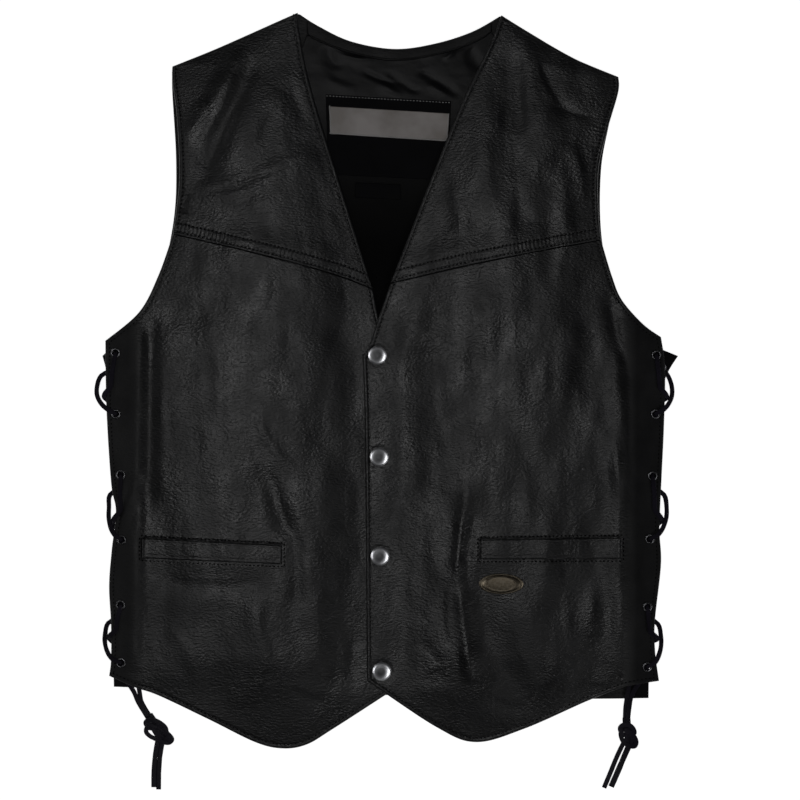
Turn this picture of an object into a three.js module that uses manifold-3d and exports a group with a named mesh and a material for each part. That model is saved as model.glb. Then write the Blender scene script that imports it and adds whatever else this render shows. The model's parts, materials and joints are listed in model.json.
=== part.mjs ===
import * as THREE from "three";
import { mergeVertices } from "three/addons/utils/BufferGeometryUtils.js";
import Module from "manifold-3d";

// A leather vest laid flat on its back with the front up.
// Millimetres: +X is the wearer's left, +Y the neck, +Z up, z = 0 the surface that it lies on.
const wasm = await Module();
wasm.setup();

// Cloth walls
const LEATHER = 1.4;
const SATIN = 1.0;
const SEAM_GAP = 0.3;
const SEAM_STEP = 0.8; // the yoke's lower edge lies this much higher, over the seam's turned edges
const SEAM_BAND = 11; // height of that raised band
const BACK_LIFT = { rise: 2.5, margin: 27, fade: 42, atHem: 0.35 }; // its laced margins lie on the laces
const WELD = 1e-4; // points closer than this are one

// Laces and eyelets
const LACE = { width: 4.2, thickness: 1.5, pinched: 3.2 };
const LACE_SECTION = [[1, 0], [0.75, 1], [-0.75, 1], [-1, 0], [-0.75, -1], [0.75, -1]]; // in half-widths
const LACE_UNDER = 1.1; // height of a lace's centre beneath the back,
const LACE_INSIDE = 5.3; // between back and front,
const LACE_OVER = 10; // and on the front
const EYELET = { bore: 2.7, barrel: 3.1, flange: 4.4, lip: 0.35, clearance: 0.2 };
const EYELET_HOLE = EYELET.barrel + SEAM_GAP;
const LACE_LEAVES = 4.6; // a lace is back at its full width this far from an eyelet's centre,
const LACE_PINCH = 1.1; // and pinched this far from it
const LEVEL = 0.6; // a lace runs level where its direction has at least this share in the plan

// Trim on the panels
const SNAP = { radius: 8.3, height: 3.4 };
const WELT = { thickness: 1.3, gap: 0.45, columns: 12 };
const BADGE = { halfWidth: 20, halfHeight: 9.2, base: 1.4, rim: 1.6, relief: 0.8, lift: 0.5 };

// Outlines, each from the wearer's neck or armhole downwards, as [x, y] of the points it runs through
const RIGHT = {
  shoulder: [[-83.7, 331.7], [-116.5, 317.2], [-158.8, 298.4], [-196.7, 283.1]],
  armholeUpper: [[-196.7, 283.1], [-196.7, 270.4], [-192.2, 234.5], [-190.1, 180.5], [-195.8, 131.8]],
  armholeLower: [[-195.8, 131.8], [-209.2, 94.0], [-226.3, 61.6], [-256.7, 35.7]],
  side: [
    [-256.7, 35.7], [-255.7, -25], [-251.5, -92], [-247.2, -118], [-251, -153],
    [-253.3, -185], [-251.6, -219], [-251.6, -251], [-253.3, -265.9],
  ],
  hem: [
    [-253.3, -265.9], [-230, -276.3], [-208.3, -283.9], [-163.3, -305.6], [-122, -326.2],
    [-97.7, -331.9], [-76, -328.5], [-52.6, -314.6], [5, -277.2],
  ],
  neckUpper: [[-83.7, 331.7], [-82.4, 314.6], [-71.5, 262.4], [-47.6, 184.1], [-15.8, 82.4]],
  neckLower: [[-15.8, 82.4], [-10.3, 55.4], [-1.4, 25.7]],
  frontEdge: [[-1.4, 25.7], [2.2, -62.6], [5, -277.2]],
  seam: [[-195.8, 131.8], [-119.2, 113.9], [-54.5, 96.8], [-15.8, 82.4]],
};
const LEFT = {
  shoulder: [[99.9, 329.4], [128.2, 311.9], [166.1, 290.2], [205.5, 273.6]],
  armholeUpper: [
    [205.5, 273.6], [205.2, 259.7], [194.8, 223.7], [187.2, 189.5], [187.2, 149], [189.5, 126.5],
  ],
  armholeLower: [[189.5, 126.5], [199.3, 94], [208.3, 72.5], [227.2, 50.9], [243.5, 39.1]],
  side: [
    [243.5, 39.1], [247.1, 10], [246.2, -40], [243.9, -89.5], [242.1, -132.8],
    [243.5, -165.2], [238.1, -215.6], [238.1, -242.6], [241.7, -270.4],
  ],
  hem: [
    [241.7, -270.4], [211.1, -275.9], [177.8, -288.4], [120.2, -314.1], [77, -326.2],
    [41, -312.3], [-21.2, -270.4],
  ],
  neckUpper: [[99.9, 329.4], [88.7, 301.1], [64.8, 251.7], [38.2, 186.3], [8.6, 110.5], [0, 87.8]],
  neckLower: [[0, 87.8], [-9.7, 60], [-19.4, 31.1], [-25.2, 22.1]],
  frontEdge: [[-25.2, 22.1], [-23.3, -30], [-22.1, -139.1], [-21.2, -270.4]],
  seam: [[189.5, 126.5], [134.6, 116.5], [71.5, 104], [8.6, 89.5], [0, 87.8]],
};
const BACK = {
  neckline: [
    [-83.7, 331.7], [-65.2, 319.9], [-35.6, 306], [3.1, 299.2], [39.1, 303.8], [73.4, 314.6], [99.9, 329.4],
  ],
  armholeRight: [
    [-196.7, 283.1], [-197, 262], [-193.5, 200], [-195, 150], [-204.8, 99.5],
    [-214.7, 74.2], [-229.1, 52.6], [-259.7, 22.2],
  ],
  armholeLeft: [
    [205.5, 273.6], [197.6, 233.6], [189.9, 189.5], [190.3, 131], [201.2, 77.9],
    [215.6, 52.6], [231.8, 34.6], [259.2, 22.1],
  ],
  sideRight: [
    [-259.7, 22.2], [-256.1, 7.7], [-252.5, -20], [-247.1, -107.5], [-248, -161.6],
    [-249.8, -215.6], [-249.5, -276.1],
  ],
  sideLeft: [
    [259.2, 22.1], [249.8, 6.8], [243, -15], [240, -60], [238.1, -161.6], [233.6, -242.6], [232.7, -286.4],
  ],
  hem: [[-249.5, -276.1], [-153.5, -279.4], [-0.5, -283.9], [152.6, -287.1], [232.7, -286.4]],
};
const LINING = {
  gap: 1,
  rightShoulder: [[-172, 248], [-104, 280], [-82, 297]],
  leftShoulder: [[101, 296], [114, 278], [176, 244]],
  right: [[-168, 150], [-184, 80], [-202, 20], [-202, -262]],
  left: [[162, 150], [171, 80], [185, 20], [185, -266]],
};
const FACING = {
  inset: 0.4,
  depth: 9,
  endDepth: 13,
  shares: [0.05, 0.11, 0.18, 0.25, 0.32, 0.39, 0.46, 0.53, 0.6, 0.67, 0.74, 0.81, 0.88, 0.95],
};
const NECK_LABEL = { corners: [[-58.5, 257.9], [54.5, 251.6], [51.8, 180.5], [-56, 185.8]], thickness: 0.8 };
const LABEL_BAND = { corners: [[-55.5, 247.1], [53, 240.6], [51.4, 215.4], [-54.5, 222.2]], thickness: 0.5 };
const SIZE_TAB = { corners: [[-32, 178.5], [9, 176.5], [9, 163], [-32, 165]], thickness: 0.8 };

// Where the panels' columns and rows of facets lie, closer together at the laced margins
const BODY_COLUMNS = [0, 0.03, 0.06, 0.1, 0.16, 0.24, 0.32, 0.4, 0.49, 0.58, 0.67, 0.76, 0.85, 0.92, 1];
const BODY_ROWS = 19;
const YOKE_COLUMNS = 10;
const YOKE_ROWS = 9;
const BACK_COLUMNS = [0, 0.025, 0.05, 0.08, 0.14, 0.23, 0.34, 0.45, 0.55, 0.66, 0.77, 0.86, 0.92, 0.95, 0.975, 1];
const SHOULDER_COLUMNS = [0, 0.12, 0.25, 0.42, 1];

// Height of a front's underside at rows down the body, in millimetres. The columns lie at these shares of
// the way across from the armhole, side or hem to the neck, front edge or hem.
const ACROSS = { outer: 0, margin: 0.1, crown: 0.45, slope: 0.72, placket: 0.88, inner: 1 };
const RIGHT_LOFT = [
  { y: 331.7, outer: 1.7, margin: 1.7, crown: 1.7, slope: 1.7, placket: 1.7, inner: 1.7 },
  { y: 318, outer: 1.7, margin: 1.9, crown: 2.5, slope: 2.8, placket: 2.9, inner: 3.0 },
  { y: 290, outer: 1.7, margin: 2.6, crown: 4.6, slope: 4.8, placket: 4.4, inner: 4.0 },
  { y: 262, outer: 3.8, margin: 5.0, crown: 8.0, slope: 7.6, placket: 6.4, inner: 5.2 },
  { y: 220, outer: 6.4, margin: 7.4, crown: 10.5, slope: 9.6, placket: 7.2, inner: 5.4 },
  { y: 160, outer: 7.2, margin: 8.6, crown: 12, slope: 10.5, placket: 7.2, inner: 5.4 },
  { y: 90, outer: 7.2, margin: 8.8, crown: 12.6, slope: 10.4, placket: 5.4, inner: 4.0 },
  { y: 58, outer: 7.0, margin: 8.4, crown: 12.6, slope: 10.2, placket: 4.2, inner: 3.4 },
  { y: 30, outer: 6.9, margin: 8.0, crown: 12.6, slope: 9.8, placket: 3.6, inner: 3.2 },
  { y: -150, outer: 6.9, margin: 7.7, crown: 12.6, slope: 9.6, placket: 3.6, inner: 3.2 },
  { y: -245, outer: 6.9, margin: 7.4, crown: 11, slope: 8.4, placket: 3.6, inner: 3.2 },
  { y: -270, outer: 6.6, margin: 6.9, crown: 8.6, slope: 6.6, placket: 3.6, inner: 3.2 },
  { y: -300, outer: 4.6, margin: 4.6, crown: 4.4, slope: 4.0, placket: 3.2, inner: 2.8 },
  { y: -332, outer: 0.4, margin: 0.4, crown: 0.4, slope: 0.4, placket: 0.4, inner: 0.4 },
];
const LEFT_LOFT = [
  { y: 329.4, outer: 1.7, margin: 1.7, crown: 1.7, slope: 1.7, placket: 1.7, inner: 1.7 },
  { y: 316, outer: 1.7, margin: 1.9, crown: 2.5, slope: 2.8, placket: 2.9, inner: 3.0 },
  { y: 286, outer: 1.7, margin: 2.6, crown: 4.8, slope: 4.8, placket: 4.4, inner: 4.0 },
  { y: 255, outer: 3.8, margin: 5.0, crown: 8.0, slope: 7.6, placket: 6.4, inner: 5.2 },
  { y: 218, outer: 6.4, margin: 7.4, crown: 10.5, slope: 9.6, placket: 7.4, inner: 5.6 },
  { y: 160, outer: 7.2, margin: 8.6, crown: 12, slope: 10.8, placket: 7.8, inner: 5.8 },
  { y: 90, outer: 7.2, margin: 8.8, crown: 12.6, slope: 11, placket: 7.0, inner: 5.6 },
  { y: 58, outer: 7.0, margin: 8.4, crown: 12.6, slope: 11, placket: 6.4, inner: 5.4 },
  { y: 30, outer: 6.9, margin: 8.0, crown: 12.6, slope: 10.8, placket: 5.8, inner: 5.3 },
  { y: -150, outer: 6.9, margin: 7.7, crown: 12.6, slope: 10.6, placket: 5.8, inner: 5.3 },
  { y: -245, outer: 6.9, margin: 7.4, crown: 11, slope: 9.4, placket: 5.8, inner: 5.3 },
  { y: -268, outer: 6.6, margin: 6.9, crown: 8.8, slope: 7.6, placket: 5.6, inner: 5.2 },
  { y: -298, outer: 4.6, margin: 4.6, crown: 4.4, slope: 4.2, placket: 4.0, inner: 3.8 },
  { y: -326.5, outer: 0.4, margin: 0.4, crown: 0.4, slope: 0.4, placket: 0.4, inner: 0.4 },
];

// Folds: soft ridges (rise > 0) and troughs (rise < 0) along a line, with the half-width of each
const RIGHT_FOLDS = [
  { x0: -131, y0: 272, x1: -164, y1: 196, width: 10, rise: -1.7 },
  { x0: -138, y0: 284, x1: -178, y1: 228, width: 8, rise: 1.2 },
  { x0: -128, y0: 176, x1: -140, y1: 140, width: 10, rise: -1.2 },
  { x0: -165, y0: 171, x1: -80, y1: 199, width: 6, rise: 1.0 },
  { x0: -225, y0: 28, x1: -227, y1: -80, width: 6, rise: 1.1 },
  { x0: -216, y0: 42, x1: -218, y1: -100, width: 8, rise: -1.5 },
  { x0: -224, y0: -95, x1: -233, y1: -128, width: 5, rise: -1.0 },
  { x0: -230, y0: -150, x1: -231, y1: -240, width: 6, rise: 0.9 },
  { x0: -109, y0: -91, x1: -96, y1: -128, width: 9, rise: -1.5 },
  { x0: -84, y0: -145, x1: -84, y1: -190, width: 7, rise: -1.3 },
  { x0: -187, y0: -183, x1: -130, y1: -183, width: 10, rise: -1.3 },
  { x0: -151, y0: -218, x1: -150, y1: -263, width: 18, rise: -1.6 },
];
const LEFT_FOLDS = [
  { x0: 109, y0: 278, x1: 114, y1: 207, width: 12, rise: -1.6 },
  { x0: 138, y0: 272, x1: 155, y1: 243, width: 9, rise: -1.3 },
  { x0: 153, y0: 246, x1: 176, y1: 239, width: 5, rise: -1.0 },
  { x0: 67, y0: 67, x1: 82, y1: 60, width: 5, rise: -0.9 },
  { x0: 200, y0: 62, x1: 213, y1: 5, width: 8, rise: -1.6 },
  { x0: 214, y0: 0, x1: 219, y1: -100, width: 7, rise: -1.5 },
  { x0: 204, y0: 10, x1: 207, y1: -85, width: 7, rise: 1.2 },
  { x0: 68, y0: -108, x1: 60, y1: -162, width: 7, rise: 1.3 },
  { x0: 61, y0: -168, x1: 72, y1: -262, width: 8, rise: 1.3 },
  { x0: 80, y0: -190, x1: 104, y1: -258, width: 14, rise: -1.5 },
  { x0: 152, y0: 88, x1: 152, y1: -10, width: 12, rise: 0.9 },
  { x0: 178, y0: 88, x1: 180, y1: -10, width: 10, rise: -0.9 },
];

// Places of the trim, as [x, y]
const SNAPS = [[-11.8, 22.6], [-10.1, -68.9], [-9.5, -158.3], [-7.9, -261.9]];
const BADGE_PLACE = [99.5, -182.6];
const WELTS = {
  right: { outerEnd: [-223.4, -142, -159.8], innerEnd: [-97.7, -148.3, -165] },
  left: { outerEnd: [207.2, -141.4, -160.1], innerEnd: [80.9, -143.1, -160.6] },
};

// Side lacing, top to bottom: eyelet places, and how far each of the three loops stands out past the edge
const LACING = {
  right: {
    outward: -1,
    front: [[-247.4, 24.8], [-247, -30.2], [-242.6, -85], [-241.8, -143.5], [-242.5, -202], [-242.5, -254]],
    back: [[-241.5, 13], [-239, -38], [-234.6, -93], [-233.8, -151], [-234.5, -210], [-234.5, -249]],
    reach: [8.4, 6.4, 5.6],
  },
  left: {
    outward: 1,
    front: [[239.2, 22.9], [238.4, -30.2], [235.9, -86], [233.5, -142.7], [231.2, -203.8], [231, -257.9]],
    back: [[244.5, 12], [231, -38], [228.5, -93], [226, -150], [223.5, -210], [222.5, -250]],
    reach: [6.6, 6.2, 5.6],
  },
};

// Free ends of the laces: points [x, y, z] along each, from under the hem to the knot and on to the tips
const FREE_ENDS = {
  right: {
    endA: [[-232.2, -259, 5.3], [-227, -270, 5.3], [-223.2, -280, 5.0], [-221, -290, 2.6], [-217, -307, 1.6]],
    endB: [
      [-240.6, -263, 5.3], [-237.5, -272, 5.3], [-233, -281, 5.0], [-227.8, -291, 2.6], [-222.4, -307, 1.6],
    ],
    knot: { centre: [-209, -314.5], halfWidth: 14, halfLength: 10.5, height: 6.6, turn: -0.45 },
    tailA: [[-210.8, -320, 1.6], [-212.6, -340, 1.1], [-213.4, -354, 1.1], [-213.4, -368.4, 1.1]],
    tailB: [[-206, -320, 1.6], [-207.9, -340, 1.1], [-208.7, -354, 1.1], [-208.6, -367.6, 1.1]],
  },
  left: {
    endA: [[220.6, -260, 5.3], [216, -270, 5.3], [212.5, -282, 5.2], [211.6, -295, 2.4], [212.6, -313, 1.6]],
    endB: [[228, -267.6, 5.3], [221.4, -276, 5.3], [217.4, -285, 5.0], [216.4, -296, 2.4], [217.2, -313, 1.6]],
    knot: { centre: [214.6, -320.8], halfWidth: 9.4, halfLength: 11.8, height: 6.6, turn: 0.1 },
    tailA: [[210.4, -326, 1.6], [202.6, -343, 1.1], [197.4, -355, 1.1], [191.4, -367.2, 1.1]],
    tailB: [[215, -327, 1.6], [209.6, -344, 1.1], [205.6, -355, 1.1], [201, -366, 1.1]],
  },
};

const MATERIALS = {
  leather: new THREE.MeshStandardMaterial({ color: 0x1d1d21, roughness: 0.55, metalness: 0 }),
  satin: new THREE.MeshStandardMaterial({ color: 0x141418, roughness: 0.35, metalness: 0 }),
  label: new THREE.MeshStandardMaterial({ color: 0x55565c, roughness: 0.4, metalness: 0 }),
  gunmetal: new THREE.MeshStandardMaterial({ color: 0x4a4a4e, roughness: 0.3, metalness: 1 }),
  brass: new THREE.MeshStandardMaterial({ color: 0x8a7440, roughness: 0.4, metalness: 1 }),
  thong: new THREE.MeshStandardMaterial({ color: 0x17171a, roughness: 0.6, metalness: 0 }),
};

const evenShares = (count) => Array.from({ length: count + 1 }, (_, i) => i / count);

// Smooth curve through [at, value] pairs in rising order that never overshoots them
function smoothThrough(pairs, at) {
  const last = pairs.length - 1;
  if (at <= pairs[0][0]) return pairs[0][1];
  if (at >= pairs[last][0]) return pairs[last][1];
  const k = pairs.findIndex((pair) => pair[0] > at) - 1;
  const secant = (i) => (pairs[i + 1][1] - pairs[i][1]) / (pairs[i + 1][0] - pairs[i][0]);
  const tangent = (i) => {
    if (i === 0) return secant(0);
    if (i === last) return secant(last - 1);
    const before = secant(i - 1);
    const after = secant(i);
    return before * after > 0 ? (2 * before * after) / (before + after) : 0;
  };
  const span = pairs[k + 1][0] - pairs[k][0];
  const s = (at - pairs[k][0]) / span;
  const rise = pairs[k + 1][1] - pairs[k][1];
  const startSlope = tangent(k) * span;
  const endSlope = tangent(k + 1) * span;
  const square = 3 * rise - 2 * startSlope - endSlope;
  const cube = startSlope + endSlope - 2 * rise;
  return pairs[k][1] + s * (startSlope + s * (square + s * cube));
}

// Points along the spline through a list of [x, y], at even steps or at given shares of its length
function steps(points, spacing) {
  const curve = new THREE.SplineCurve(points.map(([x, y]) => new THREE.Vector2(x, y)));
  const shares = Array.isArray(spacing) ? spacing : evenShares(spacing);
  return shares.map((share) => curve.getPointAt(share).toArray());
}

// One list from several edges that follow each other, each with its own spacing
function chain(...edges) {
  return edges.flatMap(([points, spacing], i) => steps(points, spacing).slice(i ? 1 : 0));
}

const moved = (points, dx, dy) => points.map(([x, y]) => [x + dx, y + dy]);
const reversed = (points) => [...points].reverse();

// x of an edge at a height y, from its points in falling y
function edgeX(points, y) {
  return smoothThrough(reversed(points).map((p) => [p[1], p[0]]), y);
}

// A front's outer and inner edges as one falling list each, down to the lowest point of the hem
function profileOf(front) {
  const tip = front.hem.reduce((best, p, i) => (p[1] < front.hem[best][1] ? i : best), 0);
  const join = (...lists) => lists.flatMap((list, i) => list.slice(i ? 1 : 0));
  return {
    outer: join(front.shoulder, front.armholeUpper, front.armholeLower, front.side, front.hem.slice(0, tip + 1)),
    inner: join(front.neckUpper, front.neckLower, front.frontEdge, reversed(front.hem.slice(tip))),
  };
}

// Soft bump of a fold at a point: full along its line, fading over its half-width and at its ends
function foldRise(fold, x, y) {
  const dx = fold.x1 - fold.x0;
  const dy = fold.y1 - fold.y0;
  const length = Math.hypot(dx, dy);
  const along = ((x - fold.x0) * dx + (y - fold.y0) * dy) / length;
  const beyond = Math.max(0, -along, along - length);
  const away = ((x - fold.x0) * dy - (y - fold.y0) * dx) / length;
  return fold.rise * Math.exp(-((away / fold.width) ** 2)) * Math.exp(-((beyond / (1.6 * fold.width)) ** 2));
}

// Height of a front's underside over the plan
function frontSurface(front, loft, folds) {
  const profile = profileOf(front);
  const columns = Object.keys(ACROSS);
  const rows = reversed(loft);
  return (x, y) => {
    const outer = edgeX(profile.outer, y);
    const inner = edgeX(profile.inner, y);
    const share = THREE.MathUtils.clamp((x - outer) / (inner - outer || 1), 0, 1);
    const heightOf = (name) => smoothThrough(rows.map((row) => [row.y, row[name]]), y);
    const section = columns.map((name) => [ACROSS[name], heightOf(name)]);
    const bumps = folds.reduce((sum, fold) => sum + foldRise(fold, x, y), 0);
    return smoothThrough(section, share) + bumps;
  };
}
const rightSurface = frontSurface(RIGHT, RIGHT_LOFT, RIGHT_FOLDS);
const leftSurface = frontSurface(LEFT, LEFT_LOFT, LEFT_FOLDS);

// Height of the back's underside: flat, but for the margins that lie on the laces
function backSurface(x, y) {
  const edge = Math.abs(edgeX(x < 0 ? BACK.sideRight : BACK.sideLeft, y));
  const inward = edge - Math.abs(x);
  const fromEdge = 1 - THREE.MathUtils.smoothstep(inward, BACK_LIFT.margin, BACK_LIFT.fade);
  const fromTop = 1 - THREE.MathUtils.smoothstep(y, 26, 58);
  const fromHem = THREE.MathUtils.smoothstep(y, -290, -262);
  return BACK_LIFT.rise * fromEdge * fromTop * THREE.MathUtils.lerp(BACK_LIFT.atHem, 1, fromHem);
}
const liningSurface = (x, y) => backSurface(x, y) + LEATHER + SEAM_GAP;

// Upper face of a wall of the given thickness over an underside
function above(surface, thickness) {
  const h = 0.5;
  return (x, y) => {
    const slopeX = (surface(x + h, y) - surface(x - h, y)) / (2 * h);
    const slopeY = (surface(x, y + h) - surface(x, y - h)) / (2 * h);
    return surface(x, y) + thickness * Math.hypot(1, slopeX, slopeY);
  };
}

// Plan points of a panel between its four edges: left and right run down, top and bottom run across, and
// the columns lie at the given shares
function panelGrid(left, right, top, bottom, shares = evenShares(top.length - 1)) {
  const rows = left.length - 1;
  const columns = top.length - 1;
  const grid = [];
  for (let i = 0; i <= rows; i++) {
    const v = i / rows;
    const row = [];
    for (let j = 0; j <= columns; j++) {
      const u = shares[j];
      row.push([0, 1].map((k) =>
        (1 - u) * left[i][k] + u * right[i][k] + (1 - v) * top[j][k] + v * bottom[j][k]
        - (1 - u) * (1 - v) * top[0][k] - u * (1 - v) * top[columns][k]
        - (1 - u) * v * bottom[0][k] - u * v * bottom[columns][k]));
    }
    grid.push(row);
  }
  return grid;
}

// Closed wall between a lower and an upper height over a grid of plan points, whose rows run across
function wall(points, lower, upper) {
  const grid = points[0][0][0] < points[0].at(-1)[0] ? points : points.map(reversed);
  const rows = grid.length;
  const columns = grid[0].length;
  const count = rows * columns;
  const positions = [];
  for (const height of [lower, upper]) {
    for (const row of grid) {
      for (const [x, y] of row) positions.push(x, y, height(x, y));
    }
  }
  const index = [];
  const quad = (a, b, c, d) => index.push(a, b, c, a, c, d);
  const at = (i, j) => i * columns + j;
  for (let i = 0; i < rows - 1; i++) {
    for (let j = 0; j < columns - 1; j++) {
      quad(at(i, j), at(i, j + 1), at(i + 1, j + 1), at(i + 1, j));
      quad(count + at(i, j), count + at(i + 1, j), count + at(i + 1, j + 1), count + at(i, j + 1));
    }
  }
  const rim = [];
  for (let j = 0; j < columns - 1; j++) rim.push(at(0, j));
  for (let i = 0; i < rows - 1; i++) rim.push(at(i, columns - 1));
  for (let j = columns - 1; j > 0; j--) rim.push(at(rows - 1, j));
  for (let i = rows - 1; i > 0; i--) rim.push(at(i, 0));
  rim.forEach((a, k) => {
    const b = rim[(k + 1) % rim.length];
    quad(a, count + a, count + b, b);
  });
  const geometry = new THREE.BufferGeometry();
  geometry.setAttribute("position", new THREE.Float32BufferAttribute(positions, 3));
  geometry.setIndex(index);
  return geometry;
}

function toSolid(geometry) {
  const bare = geometry.clone();
  bare.deleteAttribute("normal");
  bare.deleteAttribute("uv");
  const merged = mergeVertices(bare, WELD);
  return new wasm.Manifold(new wasm.Mesh({
    numProp: 3,
    vertProperties: new Float32Array(merged.attributes.position.array),
    triVerts: new Uint32Array(merged.index.array),
  }));
}

function toGeometry(solid) {
  const mesh = solid.getMesh();
  const geometry = new THREE.BufferGeometry();
  geometry.setAttribute("position", new THREE.Float32BufferAttribute(Array.from(mesh.vertProperties), 3));
  geometry.setIndex(Array.from(mesh.triVerts));
  return geometry;
}

// A panel with a round hole for each eyelet
function punched(geometry, places) {
  let solid = toSolid(geometry);
  for (const [x, y] of places) {
    const punch = new THREE.CylinderGeometry(EYELET_HOLE, EYELET_HOLE, 40, 10);
    punch.rotateX(Math.PI / 2);
    punch.translate(x, y, 0);
    solid = solid.subtract(toSolid(punch));
  }
  return toGeometry(solid);
}

const vest = new THREE.Group();
function add(name, geometry, material) {
  const mesh = new THREE.Mesh(geometry, MATERIALS[material]);
  mesh.name = name;
  vest.add(mesh);
  return mesh;
}

// Panels
function addFront(name, front, surface, lacing) {
  const top = above(surface, LEATHER);
  const seamDown = moved(front.seam, 0, -SEAM_GAP / 2);
  const seamUp = moved(front.seam, 0, SEAM_GAP / 2);
  const outerDown = chain([front.armholeLower, 5], [front.side, BODY_ROWS]);
  const innerDown = chain([front.neckLower, 5], [front.frontEdge, BODY_ROWS]);
  const body = panelGrid(
    outerDown.with(0, seamDown[0]), innerDown.with(0, seamDown.at(-1)),
    steps(seamDown, BODY_COLUMNS), steps(front.hem, BODY_COLUMNS), BODY_COLUMNS,
  );
  add(`${name}_body`, punched(wall(body, surface, top), lacing.front), "leather");

  const seamHeight = (x) => edgeX(front.seam[0][0] < front.seam.at(-1)[0]
    ? reversed(front.seam).map(([a, b]) => [b, a])
    : front.seam.map(([a, b]) => [b, a]), x);
  const raised = (height) => (x, y) => {
    const band = THREE.MathUtils.smoothstep(seamHeight(x) + SEAM_BAND + 3 - y, 0, 3);
    return height(x, y) + SEAM_STEP * band;
  };
  const yoke = panelGrid(
    steps(front.armholeUpper, YOKE_ROWS).with(-1, seamUp[0]),
    steps(front.neckUpper, YOKE_ROWS).with(-1, seamUp.at(-1)),
    steps(reversed(front.shoulder), YOKE_COLUMNS), steps(seamUp, YOKE_COLUMNS),
  );
  add(`${name}_yoke`, wall(yoke, raised(surface), raised(top)), "leather");
}

function addBack() {
  const upper = above(backSurface, LEATHER);
  const top = chain(
    [reversed(RIGHT.shoulder), SHOULDER_COLUMNS],
    [BACK.neckline, BACK_COLUMNS.length - 2 * SHOULDER_COLUMNS.length + 1],
    [LEFT.shoulder, reversed(SHOULDER_COLUMNS).map((share) => 1 - share)],
  );
  const bottom = steps(BACK.hem, BACK_COLUMNS);
  const right = chain([BACK.armholeRight, 6], [BACK.sideRight, 10]);
  const left = chain([BACK.armholeLeft, 6], [BACK.sideLeft, 10]);
  const holes = [...LACING.right.back, ...LACING.left.back];
  const back = wall(panelGrid(right, left, top, bottom, BACK_COLUMNS), backSurface, upper);
  add("back", punched(back, holes), "leather");

  const facingTop = moved(steps(BACK.neckline, FACING.shares), 0, -FACING.inset);
  const facingLow = facingTop.map(([x, y], i) => {
    const fromEnd = Math.min(1, (i / facingTop.length) * 4);
    return [x, y - THREE.MathUtils.lerp(FACING.endDepth, FACING.depth, fromEnd)];
  });
  add("neck_facing", wall([facingTop, facingLow], liningSurface, above(liningSurface, SATIN)), "leather");

  const underFacing = moved(facingLow, 0, -LINING.gap);
  const liningTop = chain(
    [[...LINING.rightShoulder, underFacing[0]], 3],
    [underFacing, 8],
    [[underFacing.at(-1), ...LINING.leftShoulder], 3],
  );
  const lining = panelGrid(
    steps([liningTop[0], ...LINING.right], 8), steps([liningTop.at(-1), ...LINING.left], 8),
    liningTop, steps([LINING.right.at(-1), LINING.left.at(-1)], liningTop.length - 1),
  );
  add("back_lining", wall(lining, liningSurface, above(liningSurface, SATIN)), "satin");
}

// A flat quadrilateral patch between two heights
function patch(corners, lower, thickness, inset = 0) {
  const [a, b, c, d] = corners;
  return wall(
    panelGrid(steps([a, d], 2), steps([b, c], 2), steps([a, b], 3), steps([d, c], 3)),
    (x, y) => lower(x, y) + inset, (x, y) => lower(x, y) + inset + thickness,
  );
}

function addLabels() {
  const onLining = (x, y) => liningSurface(x, y) + SATIN + SEAM_GAP;
  add("neck_label", patch(NECK_LABEL.corners, onLining, NECK_LABEL.thickness), "leather");
  const bandLift = NECK_LABEL.thickness + SEAM_GAP;
  add("label_band", patch(LABEL_BAND.corners, onLining, LABEL_BAND.thickness, bandLift), "label");
  add("size_tab", patch(SIZE_TAB.corners, onLining, SIZE_TAB.thickness), "satin");
}

function addWelt(name, place, surface) {
  const top = above(surface, LEATHER);
  const [x0, upper0, lower0] = place.outerEnd;
  const [x1, upper1, lower1] = place.innerEnd;
  const upperEdge = steps([[x0, upper0], [x1, upper1]], WELT.columns);
  const lowerEdge = steps([[x0, lower0], [x1, lower1]], WELT.columns);
  const middle = upperEdge.map(([x, y], i) => [x, (y + lowerEdge[i][1]) / 2]);
  const lower = (x, y) => top(x, y) + WELT.gap;
  add(name, wall([upperEdge, middle, lowerEdge], lower, (x, y) => lower(x, y) + WELT.thickness), "leather");
}

// Turns a shape made about +Z to stand on a surface at a place
function standOn(geometry, surface, [x, y], lift) {
  const h = 2;
  const normal = new THREE.Vector3(
    -(surface(x + h, y) - surface(x - h, y)) / (2 * h),
    -(surface(x, y + h) - surface(x, y - h)) / (2 * h),
    1,
  ).normalize();
  geometry.applyQuaternion(new THREE.Quaternion().setFromUnitVectors(new THREE.Vector3(0, 0, 1), normal));
  geometry.translate(x + normal.x * lift, y + normal.y * lift, surface(x, y) + normal.z * lift);
  return geometry;
}

// Shape turned about +Z from a profile of [radius, height]
function turned(profile, segments) {
  const geometry = new THREE.LatheGeometry(profile.map(([r, z]) => new THREE.Vector2(r, z)), segments);
  geometry.rotateX(Math.PI / 2);
  return geometry;
}

// Eyelet: barrel through the leather with a flange on each face
function addEyelet(name, surface, place) {
  const face = LEATHER + EYELET.clearance;
  const lip = EYELET.lip;
  const profile = [
    [EYELET.bore, -EYELET.clearance - lip], [EYELET.flange, -EYELET.clearance],
    [EYELET.barrel, -EYELET.clearance], [EYELET.barrel, face],
    [EYELET.flange, face], [EYELET.bore, face + lip],
    [EYELET.bore, -EYELET.clearance - lip],
  ];
  add(name, standOn(turned(profile, 8), surface, place, 0), "gunmetal");
}

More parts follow.
